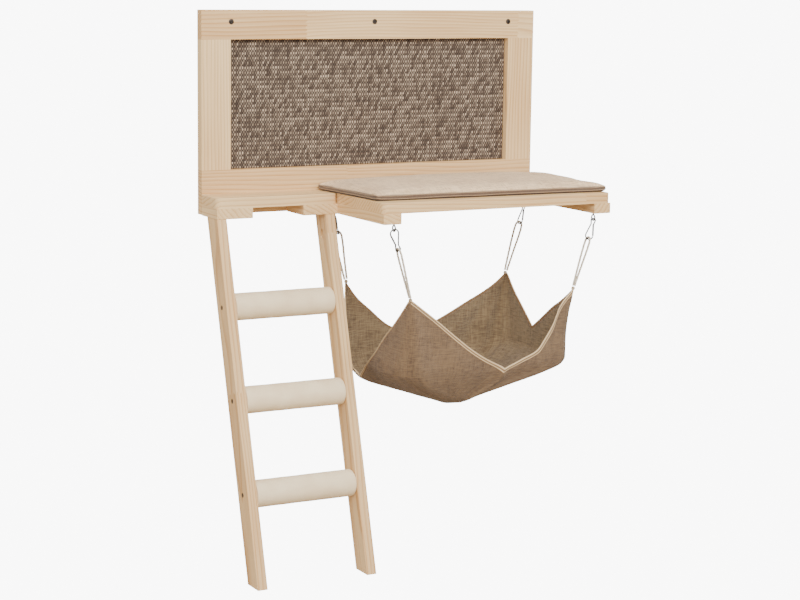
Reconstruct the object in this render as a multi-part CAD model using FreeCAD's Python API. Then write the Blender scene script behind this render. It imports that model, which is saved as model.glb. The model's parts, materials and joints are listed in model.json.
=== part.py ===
"""Wall mounted cat tree: a framed scratching panel with a step, a seat platform, a ladder and a hammock.

Millimetres. +Z is up and the object faces -Y. The wall is the plane Y = 0, and the origin is the middle
of the row of three wall screw holes, on the back face of the top rail. "Left" is the side of -X.
"""
import math
import os
from collections import namedtuple

import FreeCAD
import Part
from FreeCAD import Vector

# ---------------------------------------------------------------- driving sizes: boards and panel
STOCK = 18.0  # thickness of every pine board
EASED_EDGE = 1.2  # sanded round on the edges of a board
PANEL_WIDTH = 660.0
PANEL_HEIGHT = 348.0
TOP_RAIL_HEIGHT = 50.0
BOTTOM_RAIL_HEIGHT = 76.0
STILE_WIDTH = 54.0
DOWEL_DIAMETER = 8.0
DOWEL_LENGTH = 40.0
DOWEL_CLEARANCE = 0.1
DOWEL_SPACING = 26.0  # between the two dowels of one joint, in a stile
REBATE_WIDTH = 8.0  # step round the back of the window that takes the backing board
BACKING_THICKNESS = 3.0
BACKING_CLEARANCE = 0.5
MAT_THICKNESS = 4.0
MAT_CLEARANCE = 0.4

# ---------------------------------------------------------------- wall screw holes
WALL_SCREW_DROP = 20.0  # from the top of the panel
WALL_SCREW_INSET = 55.0  # from the end of the top rail
WALL_HOLE_DIAMETER = 5.0
WALL_SINK_DIAMETER = 10.0

# ---------------------------------------------------------------- step and platform
SHELF_RISE = 35.0  # from the foot of the panel to the top of both boards
STEP_WIDTH = 227.0
STEP_DEPTH = 66.0
STEP_BATTEN_WIDTH = 66.0
PLATFORM_OVERHANG = 20.0  # past the right end of the panel
PLATFORM_DEPTH = 236.5
PLATFORM_BATTEN_WIDTH = 33.5
BOARD_CORNER_RADIUS = 10.0
SHELF_GAP = 0.2  # hair line between the step and the platform

# ---------------------------------------------------------------- wood screws
SCREW_DIAMETER = 4.0
SCREW_HEAD_DIAMETER = 8.0
SCREW_CLEARANCE = 0.1
SHELF_SCREW_LENGTH = 50.0
SHELF_SCREW_INSET = 48.0  # from the ends of a board
BATTEN_SCREW_LENGTH = 30.0
BATTEN_SCREW_INSET = 20.0  # from the ends of a batten

# ---------------------------------------------------------------- ladder
LADDER_WIDTH = 222.0
LADDER_LENGTH = 624.0  # along the front edge of a rail
LADDER_LEAN = 15.8  # degrees, foot away from the wall
LADDER_SETBACK = 1.0  # behind the front of the step
RAIL_DEPTH = 41.0
RUNG_TOP_DROP = 147.0  # from the top of the rail to the first rung, along it
RUNG_PITCH = 158.5
RUNG_COUNT = 3
RUNG_CORE_DIAMETER = 40.0
RUNG_WRAP_THICKNESS = 3.5
RUNG_SCREW_LENGTH = 45.0
POCKET_DROP = 21.0  # from the top of a rail to the mouth of its pocket hole
POCKET_ANGLE = 20.0  # degrees between the pocket screw and the rail
POCKET_SCREW_LENGTH = 30.0

# ---------------------------------------------------------------- screw eyes and snap hooks
EYE_WIRE = 2.6
EYE_RING_RADIUS = 4.9  # to the middle of the wire
EYE_NECK = 2.0
EYE_SHANK = 14.0
EYE_HOLE_SPARE = 1.0  # below the tip of the shank
EYE_END_INSET = 26.5  # from the ends of the platform
EYE_FRONT_INSET = 13.5  # behind the front of the platform
EYE_WALL_INSET = 11.0  # in front of the wall
HOOK_WIRE = 2.6
HOOK_LENGTH = 37.4  # between the middles of the wire at its two ends
HOOK_BROAD_RADIUS = 7.7
HOOK_EYE_HEIGHT = 4.7  # from the foot of the small eye up to its middle
HOOK_FOOT_WIDTH = 10.6  # of the flat foot, were its corners sharp
HOOK_FOOT_BEND = 2.6
HOOK_WAIST_WIDTH = 4.3
HOOK_WAIST_HEIGHT = 4.9  # above the middle of the small eye
HOOK_WAIST_BEND = 6.0
HOOK_SHOULDER_BEND = 14.0
CROWN_SHARE = 0.9  # radius of the broad end's bends, of half its width
GATE_DIAMETER = 3.2
GATE_PIN_DIAMETER = 1.2
GATE_PIN_INSET = 0.1  # its ends lie under the cheeks of the gate
GATE_CLEARANCE = 0.3
GATE_PIVOT = (2.9, 6.4)  # across and along the hook, from the middle of its small eye
GATE_TIP = (HOOK_BROAD_RADIUS, HOOK_LENGTH - HOOK_EYE_HEIGHT - HOOK_BROAD_RADIUS)
NOSE_GAP = 0.7
TONGUE_THICKNESS = 1.2
TONGUE_LENGTH = 4.4  # flattened end of the wire, from the pin
TONGUE_LAP = 1.0  # how far the tongue runs into the round wire
LINK_CLEARANCE = 0.3  # between linked rings, cords and knots

# ---------------------------------------------------------------- hammock
LINK_DROP = 124.0  # from the pivot at an eye down to the corner of the cloth
LINK_TOE_IN = 34.5  # each corner hangs this far inside its eye
CORD_DIAMETER = 4.0
CORD_LOOP_WIDTH = 14.0  # across the bend at the hook, between the middles of the strands
CORD_LOOP_FOOT = 4.6  # between the strands at the knot
# The two strands at three places below the hook, as shares of the loop's half width and of its length.
CORD_STRANDS = (((0.74, 0.60), (1.03, 0.27), (1.0, 0.0)), ((1.0, 0.0), (0.92, 0.31), (0.62, 0.55)))
KNOT_RADIUS = 3.9
CLOTH_THICKNESS = 2.0
BINDING_WIDTH = 8.0
BINDING_EXTRA = 0.8  # how far the binding stands proud of each face of the cloth
BAG_HEIGHT = 208.0  # from the corners down to the lowest fold
BAG_BELLY = 3.5  # how far the front and the ends belly out at most
BACK_FOLD = 3.5  # depth of the three upright folds of the back
BAG_LEAST_ROUND = 1.5
TIP_WIDTH = 3.0  # from a corner to the start of its two hems
HEM_REACH = 70.0  # how far into the bag a hem's wedge is cut
HEM_CUT_SPARE = 10.0  # above the corners
BAG_WALL_SHARE = 68  # percent of the height at which the wall turns into the base
# Shape of the bag in percent. The level is how far down it is. Each corner gives how far it lies inside
# the hanging corner, along X of the mouth's width and along Y of its depth, and its rounding, of that
# depth. Bow and fold are shares of the belly and of the back's folds.
BagLevel = namedtuple("BagLevel", "level front_left front_right back_right back_left bow fold")
BAG_LEVELS = (
    BagLevel(-3, (-0.8, -1.1, 2.6), (-0.8, -1.1, 2.6), (-0.8, -1.1, 2.6), (-0.8, -1.1, 2.6), 6, 6),
    BagLevel(0, (-0.8, -1.1, 2.6), (-0.8, -1.1, 2.6), (-0.8, -1.1, 2.6), (-0.8, -1.1, 2.6), 6, 6),
    BagLevel(19, (-1.2, -1.3, 6), (0.6, -1.1, 4), (0, 0, 6), (-0.9, 0, 6), 30, 60),
    BagLevel(41, (-2.1, -1.3, 12), (1.8, -0.9, 5), (0.9, 1.3, 10.5), (-1.2, 1.3, 10.5), 70, 85),
    BagLevel(59, (-3.0, 0, 18), (3.0, 0, 4.5), (2.1, 1.7, 15), (-1.8, 1.7, 15), 100, 100),
    BagLevel(65.5, (-2.7, 1.3, 20), (5.1, 1.3, 4.5), (3.6, 3.0, 16.5), (-1.8, 3.0, 16.5), 100, 100),
    BagLevel(72, (1.2, 3.9, 20), (16.5, 3.5, 4.5), (9.0, 6.5, 19.5), (0.3, 7.0, 19.5), 85, 85),
    BagLevel(81, (10.2, 8.3, 18), (35.8, 6.5, 4.5), (18.3, 14, 22), (4.5, 14.8, 21), 70, 70),
    BagLevel(91.5, (24, 14.3, 9.5), (57, 10.4, 3.5), (39, 34.8, 14), (16.5, 31.3, 15), 40, 40),
    BagLevel(97.5, (29.5, 21.7, 3.5), (61.6, 18.3, 2.6), (49.6, 45.7, 7), (26.5, 42.6, 7), 17, 17),
    BagLevel(100, (33, 28.7, 1.8), (60.8, 27, 1.8), (51.7, 53, 2.6), (33.7, 48.7, 2.6), 6, 6),
)
Hem = namedtuple("Hem", "along drop first_sag second_sag")
# Hems, seen square on from corner to corner, in percent: where the low point is, of the run, how far
# down it is, of the bag's height, and so the sag of the arms beside it.
HEMS = {
    "front": Hem(59.5, 66.8, 4.8, 15.9),
    "back": Hem(37.5, 53.4, 5.8, 3.8),
    "left": Hem(75.2, 75.5, 2.9, 2.9),
    "right": Hem(53.5, 42.8, 1.0, 4.3),
}

# ---------------------------------------------------------------- cushion
CUSHION_SETBACK = 32.0  # behind the front of the platform
CUSHION_THICKNESS = 17.0
CUSHION_EDGE = 11.0  # height of its side band
CUSHION_WALL_GAP = 4.0
CUSHION_END_GAP = 4.0
CUSHION_FRONT_LEFT = 24.0  # front left corner, right of the joint with the step
CUSHION_BACK_LEFT = -8.0  # back left corner laps over the step
CUSHION_CORNER_RADIUS = 16.0
CUSHION_CLEARANCE = 0.3
CUSHION_CROWN_RUN = 75.0  # from the top seam in to the level middle
# Outline of the band at shares of its height, and how far it is drawn in from the seams.
CUSHION_BAND = ((0.0, 1.6), (0.15, 0.2), (0.5, 1.5), (0.9, 0.1), (1.0, 0.4))
# Outline of the crown at shares of its height and of its run.
CUSHION_CROWN = ((0.45, 0.12), (0.8, 0.4), (1.0, 1.0))
CUSHION_CORNER_GROWTH = 0.1  # of the crown's run, added to the corner radius

# ---------------------------------------------------------------- places that several pieces share
TOP = WALL_SCREW_DROP
BOTTOM = TOP - PANEL_HEIGHT
LEFT = -PANEL_WIDTH / 2
FACE = -STOCK  # front face of the panel
SHELF_TOP = BOTTOM + SHELF_RISE
SHELF_UNDER = SHELF_TOP - STOCK
BATTEN_UNDER = SHELF_UNDER - STOCK
STEP_RIGHT = LEFT + STEP_WIDTH
PLATFORM_LEFT = STEP_RIGHT + SHELF_GAP
PLATFORM_RIGHT = PANEL_WIDTH / 2 + PLATFORM_OVERHANG
PLATFORM_MIDDLE = (PLATFORM_LEFT + PLATFORM_RIGHT) / 2
STEP_FRONT = FACE - STEP_DEPTH
PLATFORM_FRONT = FACE - PLATFORM_DEPTH
WINDOW_TOP = TOP - TOP_RAIL_HEIGHT
WINDOW_BOTTOM = BOTTOM + BOTTOM_RAIL_HEIGHT
WINDOW_HALF = PANEL_WIDTH / 2 - STILE_WIDTH
ALONG = Vector(0, -math.sin(math.radians(LADDER_LEAN)), -math.cos(math.radians(LADDER_LEAN)))
ACROSS = Vector(0, math.cos(math.radians(LADDER_LEAN)), -math.sin(math.radians(LADDER_LEAN)))
LADDER_TOP_FRONT = Vector(0, STEP_FRONT + LADDER_SETBACK, BATTEN_UNDER)
X_AXIS, Y_AXIS, Z_AXIS = Vector(1, 0, 0), Vector(0, 1, 0), Vector(0, 0, 1)
NEAR = 0.01  # tolerance when an edge is picked by its place
SIDES = {"left": -1, "right": 1}
ENDS = ("front", "back")


# ---------------------------------------------------------------- helpers
def box(x0, x1, y0, y1, z0, z1):
    """Block between two corners."""
    return Part.makeBox(x1 - x0, y1 - y0, z1 - z0, Vector(x0, y0, z0))


def eased(shape, radius, wanted):
    """Round the edges whose middle point satisfies wanted."""
    edges = [edge for edge in shape.Edges if wanted(edge.CenterOfMass, edge)]
    return shape.makeFillet(radius, edges)


def rod(start, end, diameter):
    """Cylinder from one point to another."""
    return Part.makeCylinder(diameter / 2, (end - start).Length, start, end - start)


def screw(head, direction, length):
    """Countersunk wood screw with its head flush at a point."""
    sink = (SCREW_HEAD_DIAMETER - SCREW_DIAMETER) / 2
    cone = Part.makeCone(SCREW_HEAD_DIAMETER / 2, SCREW_DIAMETER / 2, sink, head, direction)
    shank_start = head + direction * sink
    tip = head + direction * (length - SCREW_DIAMETER)
    shank = rod(shank_start, tip, SCREW_DIAMETER)
    point = Part.makeCone(SCREW_DIAMETER / 2, SCREW_DIAMETER / 8, SCREW_DIAMETER, tip, direction)
    return cone.fuse([shank, point]).removeSplitter()


def screw_hole(head, direction, length):
    """Room for a countersunk screw, wider than it by the clearance all round."""
    sink = (SCREW_HEAD_DIAMETER - SCREW_DIAMETER) / 2
    big = SCREW_HEAD_DIAMETER / 2 + SCREW_CLEARANCE
    small = SCREW_DIAMETER / 2 + SCREW_CLEARANCE
    cone = Part.makeCone(big, small, sink, head, direction)
    lead = rod(head - direction * STOCK, head, 2 * big)
    shank = rod(head, head + direction * (length + SCREW_CLEARANCE), 2 * small)
    return cone.fuse([lead, shank])


def tangent_path(points, radii=None):
    """Straight runs through points joined by tangent arcs; a missing radius is as large as the runs allow."""
    edges, start, used = [], points[0], []
    for index in range(1, len(points) - 1):
        before, here, after = points[index - 1:index + 2]
        inward, outward = (here - before).normalize(), (after - here).normalize()
        turn = inward.getAngle(outward)
        shorter = min((here - before).Length, (after - here).Length)
        radius = radii[index - 1] if radii else None
        radius = radius or 0.45 * shorter / math.tan(turn / 2)
        reach = radius * math.tan(turn / 2)
        arc_start, arc_end = here - inward * reach, here + outward * reach
        bisector = (outward - inward).normalize()
        middle = here + bisector * (radius / math.cos(turn / 2) - radius)
        if (arc_start - start).Length > 1e-4:
            edges.append(Part.LineSegment(start, arc_start).toShape())
        edges.append(Part.Arc(arc_start, middle, arc_end).toShape())
        start = arc_end
        used.append(radius)
    edges.append(Part.LineSegment(start, points[-1]).toShape())
    return Part.Wire(edges), used


def tube(points, diameter, radii=None):
    """Round bar along a tangent path."""
    path, used = tangent_path(points, radii)
    ring = Part.makeCircle(diameter / 2, points[0], points[1] - points[0])
    return path.makePipeShell([Part.Wire([ring])], True, False), path, used


# ---------------------------------------------------------------- scratching panel
def wall_screw_places():
    """Middle of each wall screw hole on the wall plane."""
    reach = PANEL_WIDTH / 2 - WALL_SCREW_INSET
    return [Vector(x, 0, 0) for x in (-reach, 0, reach)]


def dowel_places():
    """Middle of each dowel, where a stile meets a rail."""
    middle = PANEL_WIDTH / 2 - STILE_WIDTH / 2
    return [
        Vector(side * middle + offset * DOWEL_SPACING / 2, FACE / 2, z)
        for side in (-1, 1)
        for z in (WINDOW_TOP, WINDOW_BOTTOM)
        for offset in (-1, 1)
    ]


def dowel(place, spare=0.0):
    """One dowel, or the room for it."""
    half = Vector(0, 0, DOWEL_LENGTH / 2 + spare)
    return rod(place - half, place + half, DOWEL_DIAMETER + 2 * spare)


def rebate():
    """Room for the backing board, cut from the back of the frame."""
    return box(
        -WINDOW_HALF - REBATE_WIDTH, WINDOW_HALF + REBATE_WIDTH, -BACKING_THICKNESS, STOCK,
        WINDOW_BOTTOM - REBATE_WIDTH, WINDOW_TOP + REBATE_WIDTH,
    )


def with_dowel_holes(board):
    """Cut the room for the dowels."""
    return board.cut([dowel(place, DOWEL_CLEARANCE) for place in dowel_places()])


def top_rail():
    """Top board of the frame, which the wall screws go through."""
    board = box(LEFT, -LEFT, FACE, 0, WINDOW_TOP, TOP)
    board = eased(
        board, EASED_EDGE,
        lambda at, edge: at.y < -NEAR and abs(at.z - TOP) < NEAR
        or abs(at.y - FACE) < NEAR and abs(abs(at.x) - PANEL_WIDTH / 2) < NEAR,
    )
    sink_depth = (WALL_SINK_DIAMETER - WALL_HOLE_DIAMETER) / 2
    tools = [rebate()]
    for place in wall_screw_places():
        front = place + Vector(0, FACE, 0)
        tools.append(rod(place + Y_AXIS, front - Y_AXIS, WALL_HOLE_DIAMETER))
        tools.append(
            Part.makeCone(WALL_SINK_DIAMETER / 2, WALL_HOLE_DIAMETER / 2, sink_depth, front, Y_AXIS)
        )
    return with_dowel_holes(board.cut(tools))


def bottom_rail():
    """Bottom board of the frame, which carries the step, the platform and the two back eyes."""
    board = box(LEFT, -LEFT, FACE, 0, BOTTOM, WINDOW_BOTTOM)
    board = eased(
        board, EASED_EDGE,
        lambda at, edge: abs(abs(at.x) - PANEL_WIDTH / 2) < NEAR and abs(at.y - FACE) < NEAR,
    )
    tools = [rebate()] + [eye_hole(end, side) for end, side in hangers() if end == "back"]
    tools += [screw_hole(*place, SHELF_SCREW_LENGTH) for place in shelf_screw_places()]
    return with_dowel_holes(board.cut(tools))


def stile(side):
    """Upright at one end of the frame, between the rails."""
    inner, outer = side * WINDOW_HALF, side * PANEL_WIDTH / 2
    board = box(min(inner, outer), max(inner, outer), FACE, 0, WINDOW_BOTTOM, WINDOW_TOP)
    board = eased(board, EASED_EDGE, lambda at, edge: abs(at.x - outer) < NEAR and abs(at.y - FACE) < NEAR)
    return with_dowel_holes(board.cut(rebate()))


def frame_dowels():
    """The dowels in the four joints of the frame."""
    return Part.makeCompound([dowel(place) for place in dowel_places()])


def mat_backing():
    """Thin board in the rebate that closes the back of the window."""
    reach = REBATE_WIDTH - BACKING_CLEARANCE
    return box(
        -WINDOW_HALF - reach, WINDOW_HALF + reach, -BACKING_THICKNESS, 0,
        WINDOW_BOTTOM - reach, WINDOW_TOP + reach,
    )


def sisal_mat():
    """Scratching mat glued to the backing, with its edges pressed down a little."""
    front = -BACKING_THICKNESS - MAT_THICKNESS
    mat = box(
        -WINDOW_HALF + MAT_CLEARANCE, WINDOW_HALF - MAT_CLEARANCE, front, -BACKING_THICKNESS,
        WINDOW_BOTTOM + MAT_CLEARANCE, WINDOW_TOP - MAT_CLEARANCE,
    )
    return eased(mat, MAT_THICKNESS / 3, lambda at, edge: abs(at.y - front) < NEAR)


# ---------------------------------------------------------------- step and platform
def shelf_screw_places():
    """Head and direction of each screw that goes from the wall side into the back edge of a board."""
    height = SHELF_TOP - STOCK / 2
    step = [LEFT + SHELF_SCREW_INSET, STEP_RIGHT - SHELF_SCREW_INSET]
    seat = [PLATFORM_LEFT + SHELF_SCREW_INSET, PLATFORM_MIDDLE, -LEFT - SHELF_SCREW_INSET]
    return [(Vector(x, 0, height), Vector(0, -1, 0)) for x in step + seat]


def batten_screw_places(name):
    """Head and direction of the two screws that hold one batten, from below."""
    middle, _, front = batten_span(name)
    front_inset = BATTEN_SCREW_INSET + (EYE_FRONT_INSET if "platform" in name else 0)
    ends = (FACE - BATTEN_SCREW_INSET, front + front_inset)
    return [(Vector(middle, y, BATTEN_UNDER), Z_AXIS) for y in ends]


def batten_span(name):
    """Middle, width and front of a batten in plan."""
    if name == "step_batten_left":
        return LEFT + STEP_BATTEN_WIDTH / 2, STEP_BATTEN_WIDTH, STEP_FRONT
    if name == "step_batten_right":
        return STEP_RIGHT - STEP_BATTEN_WIDTH / 2, STEP_BATTEN_WIDTH, STEP_FRONT
    if name == "platform_batten_left":
        return PLATFORM_LEFT + PLATFORM_BATTEN_WIDTH / 2, PLATFORM_BATTEN_WIDTH, PLATFORM_FRONT
    return PLATFORM_RIGHT - PLATFORM_BATTEN_WIDTH / 2, PLATFORM_BATTEN_WIDTH, PLATFORM_FRONT


BATTENS = ("step_batten_left", "step_batten_right", "platform_batten_left", "platform_batten_right")


def shelf_board(left, right, front):
    """Board with rounded front corners and eased long edges."""
    board = box(left, right, front, FACE, SHELF_UNDER, SHELF_TOP)
    board = eased(
        board, BOARD_CORNER_RADIUS,
        lambda at, edge: abs(at.z - (SHELF_TOP + SHELF_UNDER) / 2) < NEAR and abs(at.y - front) < NEAR
        and edge.Length < STOCK + NEAR,
    )
    board = eased(board, EASED_EDGE, lambda at, edge: abs(at.z - SHELF_TOP) < NEAR and at.y < FACE - NEAR)
    holes = [screw_hole(*place, SHELF_SCREW_LENGTH) for place in shelf_screw_places()]
    for name in BATTENS:
        holes += [screw_hole(*place, BATTEN_SCREW_LENGTH) for place in batten_screw_places(name)]
    return board.cut(holes)


def step_board():
    """Small board in front of the panel's left end."""
    return shelf_board(LEFT, STEP_RIGHT, STEP_FRONT)


def platform_board():
    """Deep seat board at the right."""
    return shelf_board(PLATFORM_LEFT, PLATFORM_RIGHT, PLATFORM_FRONT)


def batten(name):
    """Bar under the end of a board, from the panel to the board's front."""
    middle, width, front = batten_span(name)
    bar = box(middle - width / 2, middle + width / 2, front, FACE, BATTEN_UNDER, SHELF_UNDER)
    bar = eased(bar, EASED_EDGE, lambda at, edge: abs(at.z - BATTEN_UNDER) < NEAR and at.y < FACE - NEAR)
    holes = [screw_hole(*place, BATTEN_SCREW_LENGTH) for place in batten_screw_places(name)]
    holes += [eye_hole(end, side) for end, side in hangers() if end == "front"]
    holes += [pocket_hole(side) for side in SIDES]
    return bar.cut(holes)


def shelf_screws():
    """Screws through the bottom rail into the boards."""
    return Part.makeCompound([screw(*place, SHELF_SCREW_LENGTH) for place in shelf_screw_places()])


def batten_screws():
    """Screws up through the battens into the boards."""
    places = [place for name in BATTENS for place in batten_screw_places(name)]
    return Part.makeCompound([screw(*place, BATTEN_SCREW_LENGTH) for place in places])


# ---------------------------------------------------------------- ladder
def rail_faces(side):
    """Outer and inner X of a ladder rail."""
    outer = LEFT if side == "left" else LEFT + LADDER_WIDTH
    return outer, outer - SIDES[side] * STOCK


def rung_middle(index):
    """Middle of a rung in the plane X = 0."""
    return LADDER_TOP_FRONT + ALONG * (RUNG_TOP_DROP + index * RUNG_PITCH) + ACROSS * (RAIL_DEPTH / 2)


def rung_screw_place(index, side):
    """Head and direction of the screw that holds one end of a rung."""
    outer, _ = rail_faces(side)
    return rung_middle(index) + X_AXIS * outer, X_AXIS * -SIDES[side]


def pocket_screw_place(side):
    """Head and direction of the slanted screw that holds the top of a rail to its batten."""
    outer, inner = rail_faces(side)
    angle = math.radians(POCKET_ANGLE)
    direction = Vector(SIDES[side] * math.sin(angle), 0, math.cos(angle))
    middle = LADDER_TOP_FRONT + ALONG * POCKET_DROP + ACROSS * (RAIL_DEPTH / 2)
    return middle + X_AXIS * (inner + (outer - inner) / 4), direction


def pocket_hole(side):
    """Slanted hole for the pocket screw, with a wide mouth in the inner face of the rail."""
    head, direction = pocket_screw_place(side)
    sink = (SCREW_HEAD_DIAMETER - SCREW_DIAMETER) / 2
    wide = SCREW_HEAD_DIAMETER + 2 * SCREW_CLEARANCE
    narrow = SCREW_DIAMETER + 2 * SCREW_CLEARANCE
    cone = Part.makeCone(wide / 2, narrow / 2, sink, head, direction)
    mouth = rod(head - direction * STOCK, head, wide)
    shank = rod(head, head + direction * (POCKET_SCREW_LENGTH + SCREW_CLEARANCE), narrow)
    return cone.fuse([mouth, shank])


def ladder_rail(side):
    """Leaning side rail, cut level at both ends."""
    outer, inner = rail_faces(side)
    level = RAIL_DEPTH / math.cos(math.radians(LADDER_LEAN))
    top_front = LADDER_TOP_FRONT + X_AXIS * min(outer, inner)
    foot_front = top_front + ALONG * LADDER_LENGTH
    back = Vector(0, level, 0)
    outline = Part.makePolygon([top_front, foot_front, foot_front + back, top_front + back, top_front])
    rail = Part.Face(outline).extrude(Vector(STOCK, 0, 0))
    rail = eased(
        rail, EASED_EDGE,
        lambda at, edge: edge.Length > LADDER_LENGTH - 1,
    )
    holes = [screw_hole(*rung_screw_place(index, side), RUNG_SCREW_LENGTH) for index in range(RUNG_COUNT)]
    return rail.cut(holes + [pocket_hole(side)])


def rung_ends(index):
    """The two points where a rung meets the rails."""
    middle = rung_middle(index)
    return [middle + X_AXIS * rail_faces(side)[1] for side in SIDES]


def rung_core(index):
    """Round wooden core of a rung."""
    start, end = rung_ends(index)
    core = rod(start, end, RUNG_CORE_DIAMETER)
    return core.cut([screw_hole(*rung_screw_place(index, side), RUNG_SCREW_LENGTH) for side in SIDES])


def rung_wrap(index):
    """Wound covering of a rung, from rail to rail."""
    start, end = rung_ends(index)
    return rod(start, end, RUNG_CORE_DIAMETER + 2 * RUNG_WRAP_THICKNESS).cut(
        rod(start, end, RUNG_CORE_DIAMETER)
    )


def rung_screws():
    """Screws through the rails into the rungs."""
    places = [rung_screw_place(index, side) for index in range(RUNG_COUNT) for side in SIDES]
    return Part.makeCompound([screw(*place, RUNG_SCREW_LENGTH) for place in places])


def ladder_screws():
    """Pocket screws that hold the rails to the step's battens."""
    return Part.makeCompound([screw(*pocket_screw_place(side), POCKET_SCREW_LENGTH) for side in SIDES])


# ---------------------------------------------------------------- hangers: eye, hook, gate and cord loop
def hangers():
    """The four hangers, as (end, side)."""
    return [(end, side) for end in ENDS for side in SIDES]


class Hanger:
    """Points and directions of one hanger, from its screw eye down to the corner of the cloth."""

    def __init__(self, end, side):
        self.end, self.side = end, side
        toe = -SIDES[side] * LINK_TOE_IN
        self.down = Vector(toe, 0, -LINK_DROP).normalize()
        self.sideways = Vector(0, 1, 0).cross(self.down)  # lies in the plane of the toe-in
        y = PLATFORM_FRONT + EYE_FRONT_INSET if end == "front" else -EYE_WALL_INSET
        under = BATTEN_UNDER if end == "front" else BOTTOM
        ends = {"left": PLATFORM_LEFT, "right": PLATFORM_RIGHT}
        self.root = Vector(ends[side] - SIDES[side] * EYE_END_INSET, y, under)
        self.ring = self.root - Z_AXIS * (EYE_NECK + EYE_WIRE / 2 + EYE_RING_RADIUS)
        hook_gap = EYE_WIRE / 2 + HOOK_WIRE / 2 + LINK_CLEARANCE
        if end == "front":
            self.ring_normal = X_AXIS
            self.hook_across = self.sideways * -SIDES[side]
            seat = self.ring - Z_AXIS * EYE_RING_RADIUS
            self.hook_top = seat - self.down * hook_gap
            self.pivot = self.hook_top
        else:
            self.ring_normal = Y_AXIS
            self.hook_across = Y_AXIS * -1
            self.pivot = self.ring + self.down * EYE_RING_RADIUS
            self.hook_top = self.pivot - self.down * hook_gap
        self.loop_across = Y_AXIS if end == "front" else self.sideways
        self.hook_foot = self.hook_top + self.down * HOOK_LENGTH
        self.broad_end_up = side == "left"
        self.hook_normal = self.hook_across.cross(self.down)
        self.corner = self.pivot + Vector(toe, 0, -LINK_DROP)

    def on_hook(self, across, along):
        """Point in the hook's plane; along runs from the middle of the small eye to the broad end."""
        if self.broad_end_up:
            start, towards = self.hook_foot - self.down * HOOK_EYE_HEIGHT, self.down * -1
        else:
            start, towards = self.hook_top + self.down * HOOK_EYE_HEIGHT, self.down
        return start + towards * along + self.hook_across * across

    def wire_start(self, spare):
        """Point on the way from the gate's pivot to the foot, beyond the tongue by an amount."""
        pivot = self.on_hook(*GATE_PIVOT)
        foot = self.on_hook(HOOK_FOOT_WIDTH / 2, -HOOK_EYE_HEIGHT)
        return pivot + (foot - pivot).normalize() * (TONGUE_LENGTH + spare)


def eye_hole(end, side):
    """Room for the shank of a screw eye."""
    root = Hanger(end, side).root
    return rod(root - Z_AXIS, root + Z_AXIS * (EYE_SHANK + EYE_HOLE_SPARE), EYE_WIRE + 2 * SCREW_CLEARANCE)


def screw_eye(hanger):
    """Closed ring with a neck, a collar and a shank."""
    ring = Part.makeTorus(EYE_RING_RADIUS, EYE_WIRE / 2, hanger.ring, hanger.ring_normal)
    neck = rod(hanger.ring + Z_AXIS * EYE_RING_RADIUS, hanger.root + Z_AXIS * EYE_SHANK, EYE_WIRE)
    collar = rod(hanger.root - Z_AXIS * EYE_NECK / 2, hanger.root, 2 * EYE_WIRE)
    return ring.fuse([neck, collar])


def screw_eyes():
    """The four screw eyes."""
    return Part.makeCompound([screw_eye(Hanger(end, side)) for end, side in hangers()])


def hook_tongue(hanger):
    """Flattened end of the hook's wire, bored for the pin that the gate turns on."""
    pivot, foot = hanger.on_hook(*GATE_PIVOT), hanger.wire_start(0)
    half = (pivot - foot).normalize().cross(hanger.hook_normal) * (HOOK_WIRE / 2)
    depth = hanger.hook_normal * (TONGUE_THICKNESS / 2)
    outline = [foot - half - depth, foot + half - depth, pivot + half - depth, pivot - half - depth]
    plate = Part.Face(Part.makePolygon(outline + outline[:1])).extrude(depth * 2)
    end = rod(pivot - depth, pivot + depth, HOOK_WIRE)
    return plate.fuse(end).cut(rod(pivot - depth * 2, pivot + depth * 2, GATE_PIN_DIAMETER))


def snap_hook(end, side):
    """Bent wire from the gate's tongue round the small eye, up the spine and over to the nose."""
    hanger = Hanger(end, side)
    broad, foot, waist = HOOK_BROAD_RADIUS, HOOK_FOOT_WIDTH / 2, HOOK_WAIST_WIDTH / 2
    top = HOOK_LENGTH - HOOK_EYE_HEIGHT
    shoulder, nose = GATE_TIP[1], GATE_TIP[1] + NOSE_GAP
    outline = [
        (foot, -HOOK_EYE_HEIGHT), (-foot, -HOOK_EYE_HEIGHT), (-waist, HOOK_WAIST_HEIGHT),
        (-broad, shoulder), (-broad, top), (broad, top), (broad, nose),
    ]
    points = [hanger.wire_start(-TONGUE_LAP)] + [hanger.on_hook(*point) for point in outline]
    crown = broad * CROWN_SHARE
    wire, _, _ = tube(
        points, HOOK_WIRE,
        [HOOK_FOOT_BEND, HOOK_FOOT_BEND, HOOK_WAIST_BEND, HOOK_SHOULDER_BEND, crown, crown],
    )
    return wire.fuse(hook_tongue(hanger))


def gate_pin(end, side):
    """Pin that the gate turns on, held in the hook's tongue."""
    hanger = Hanger(end, side)
    half = hanger.hook_normal * (GATE_DIAMETER / 2 - GATE_PIN_INSET)
    pivot = hanger.on_hook(*GATE_PIVOT)
    return rod(pivot - half, pivot + half, GATE_PIN_DIAMETER)


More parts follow.
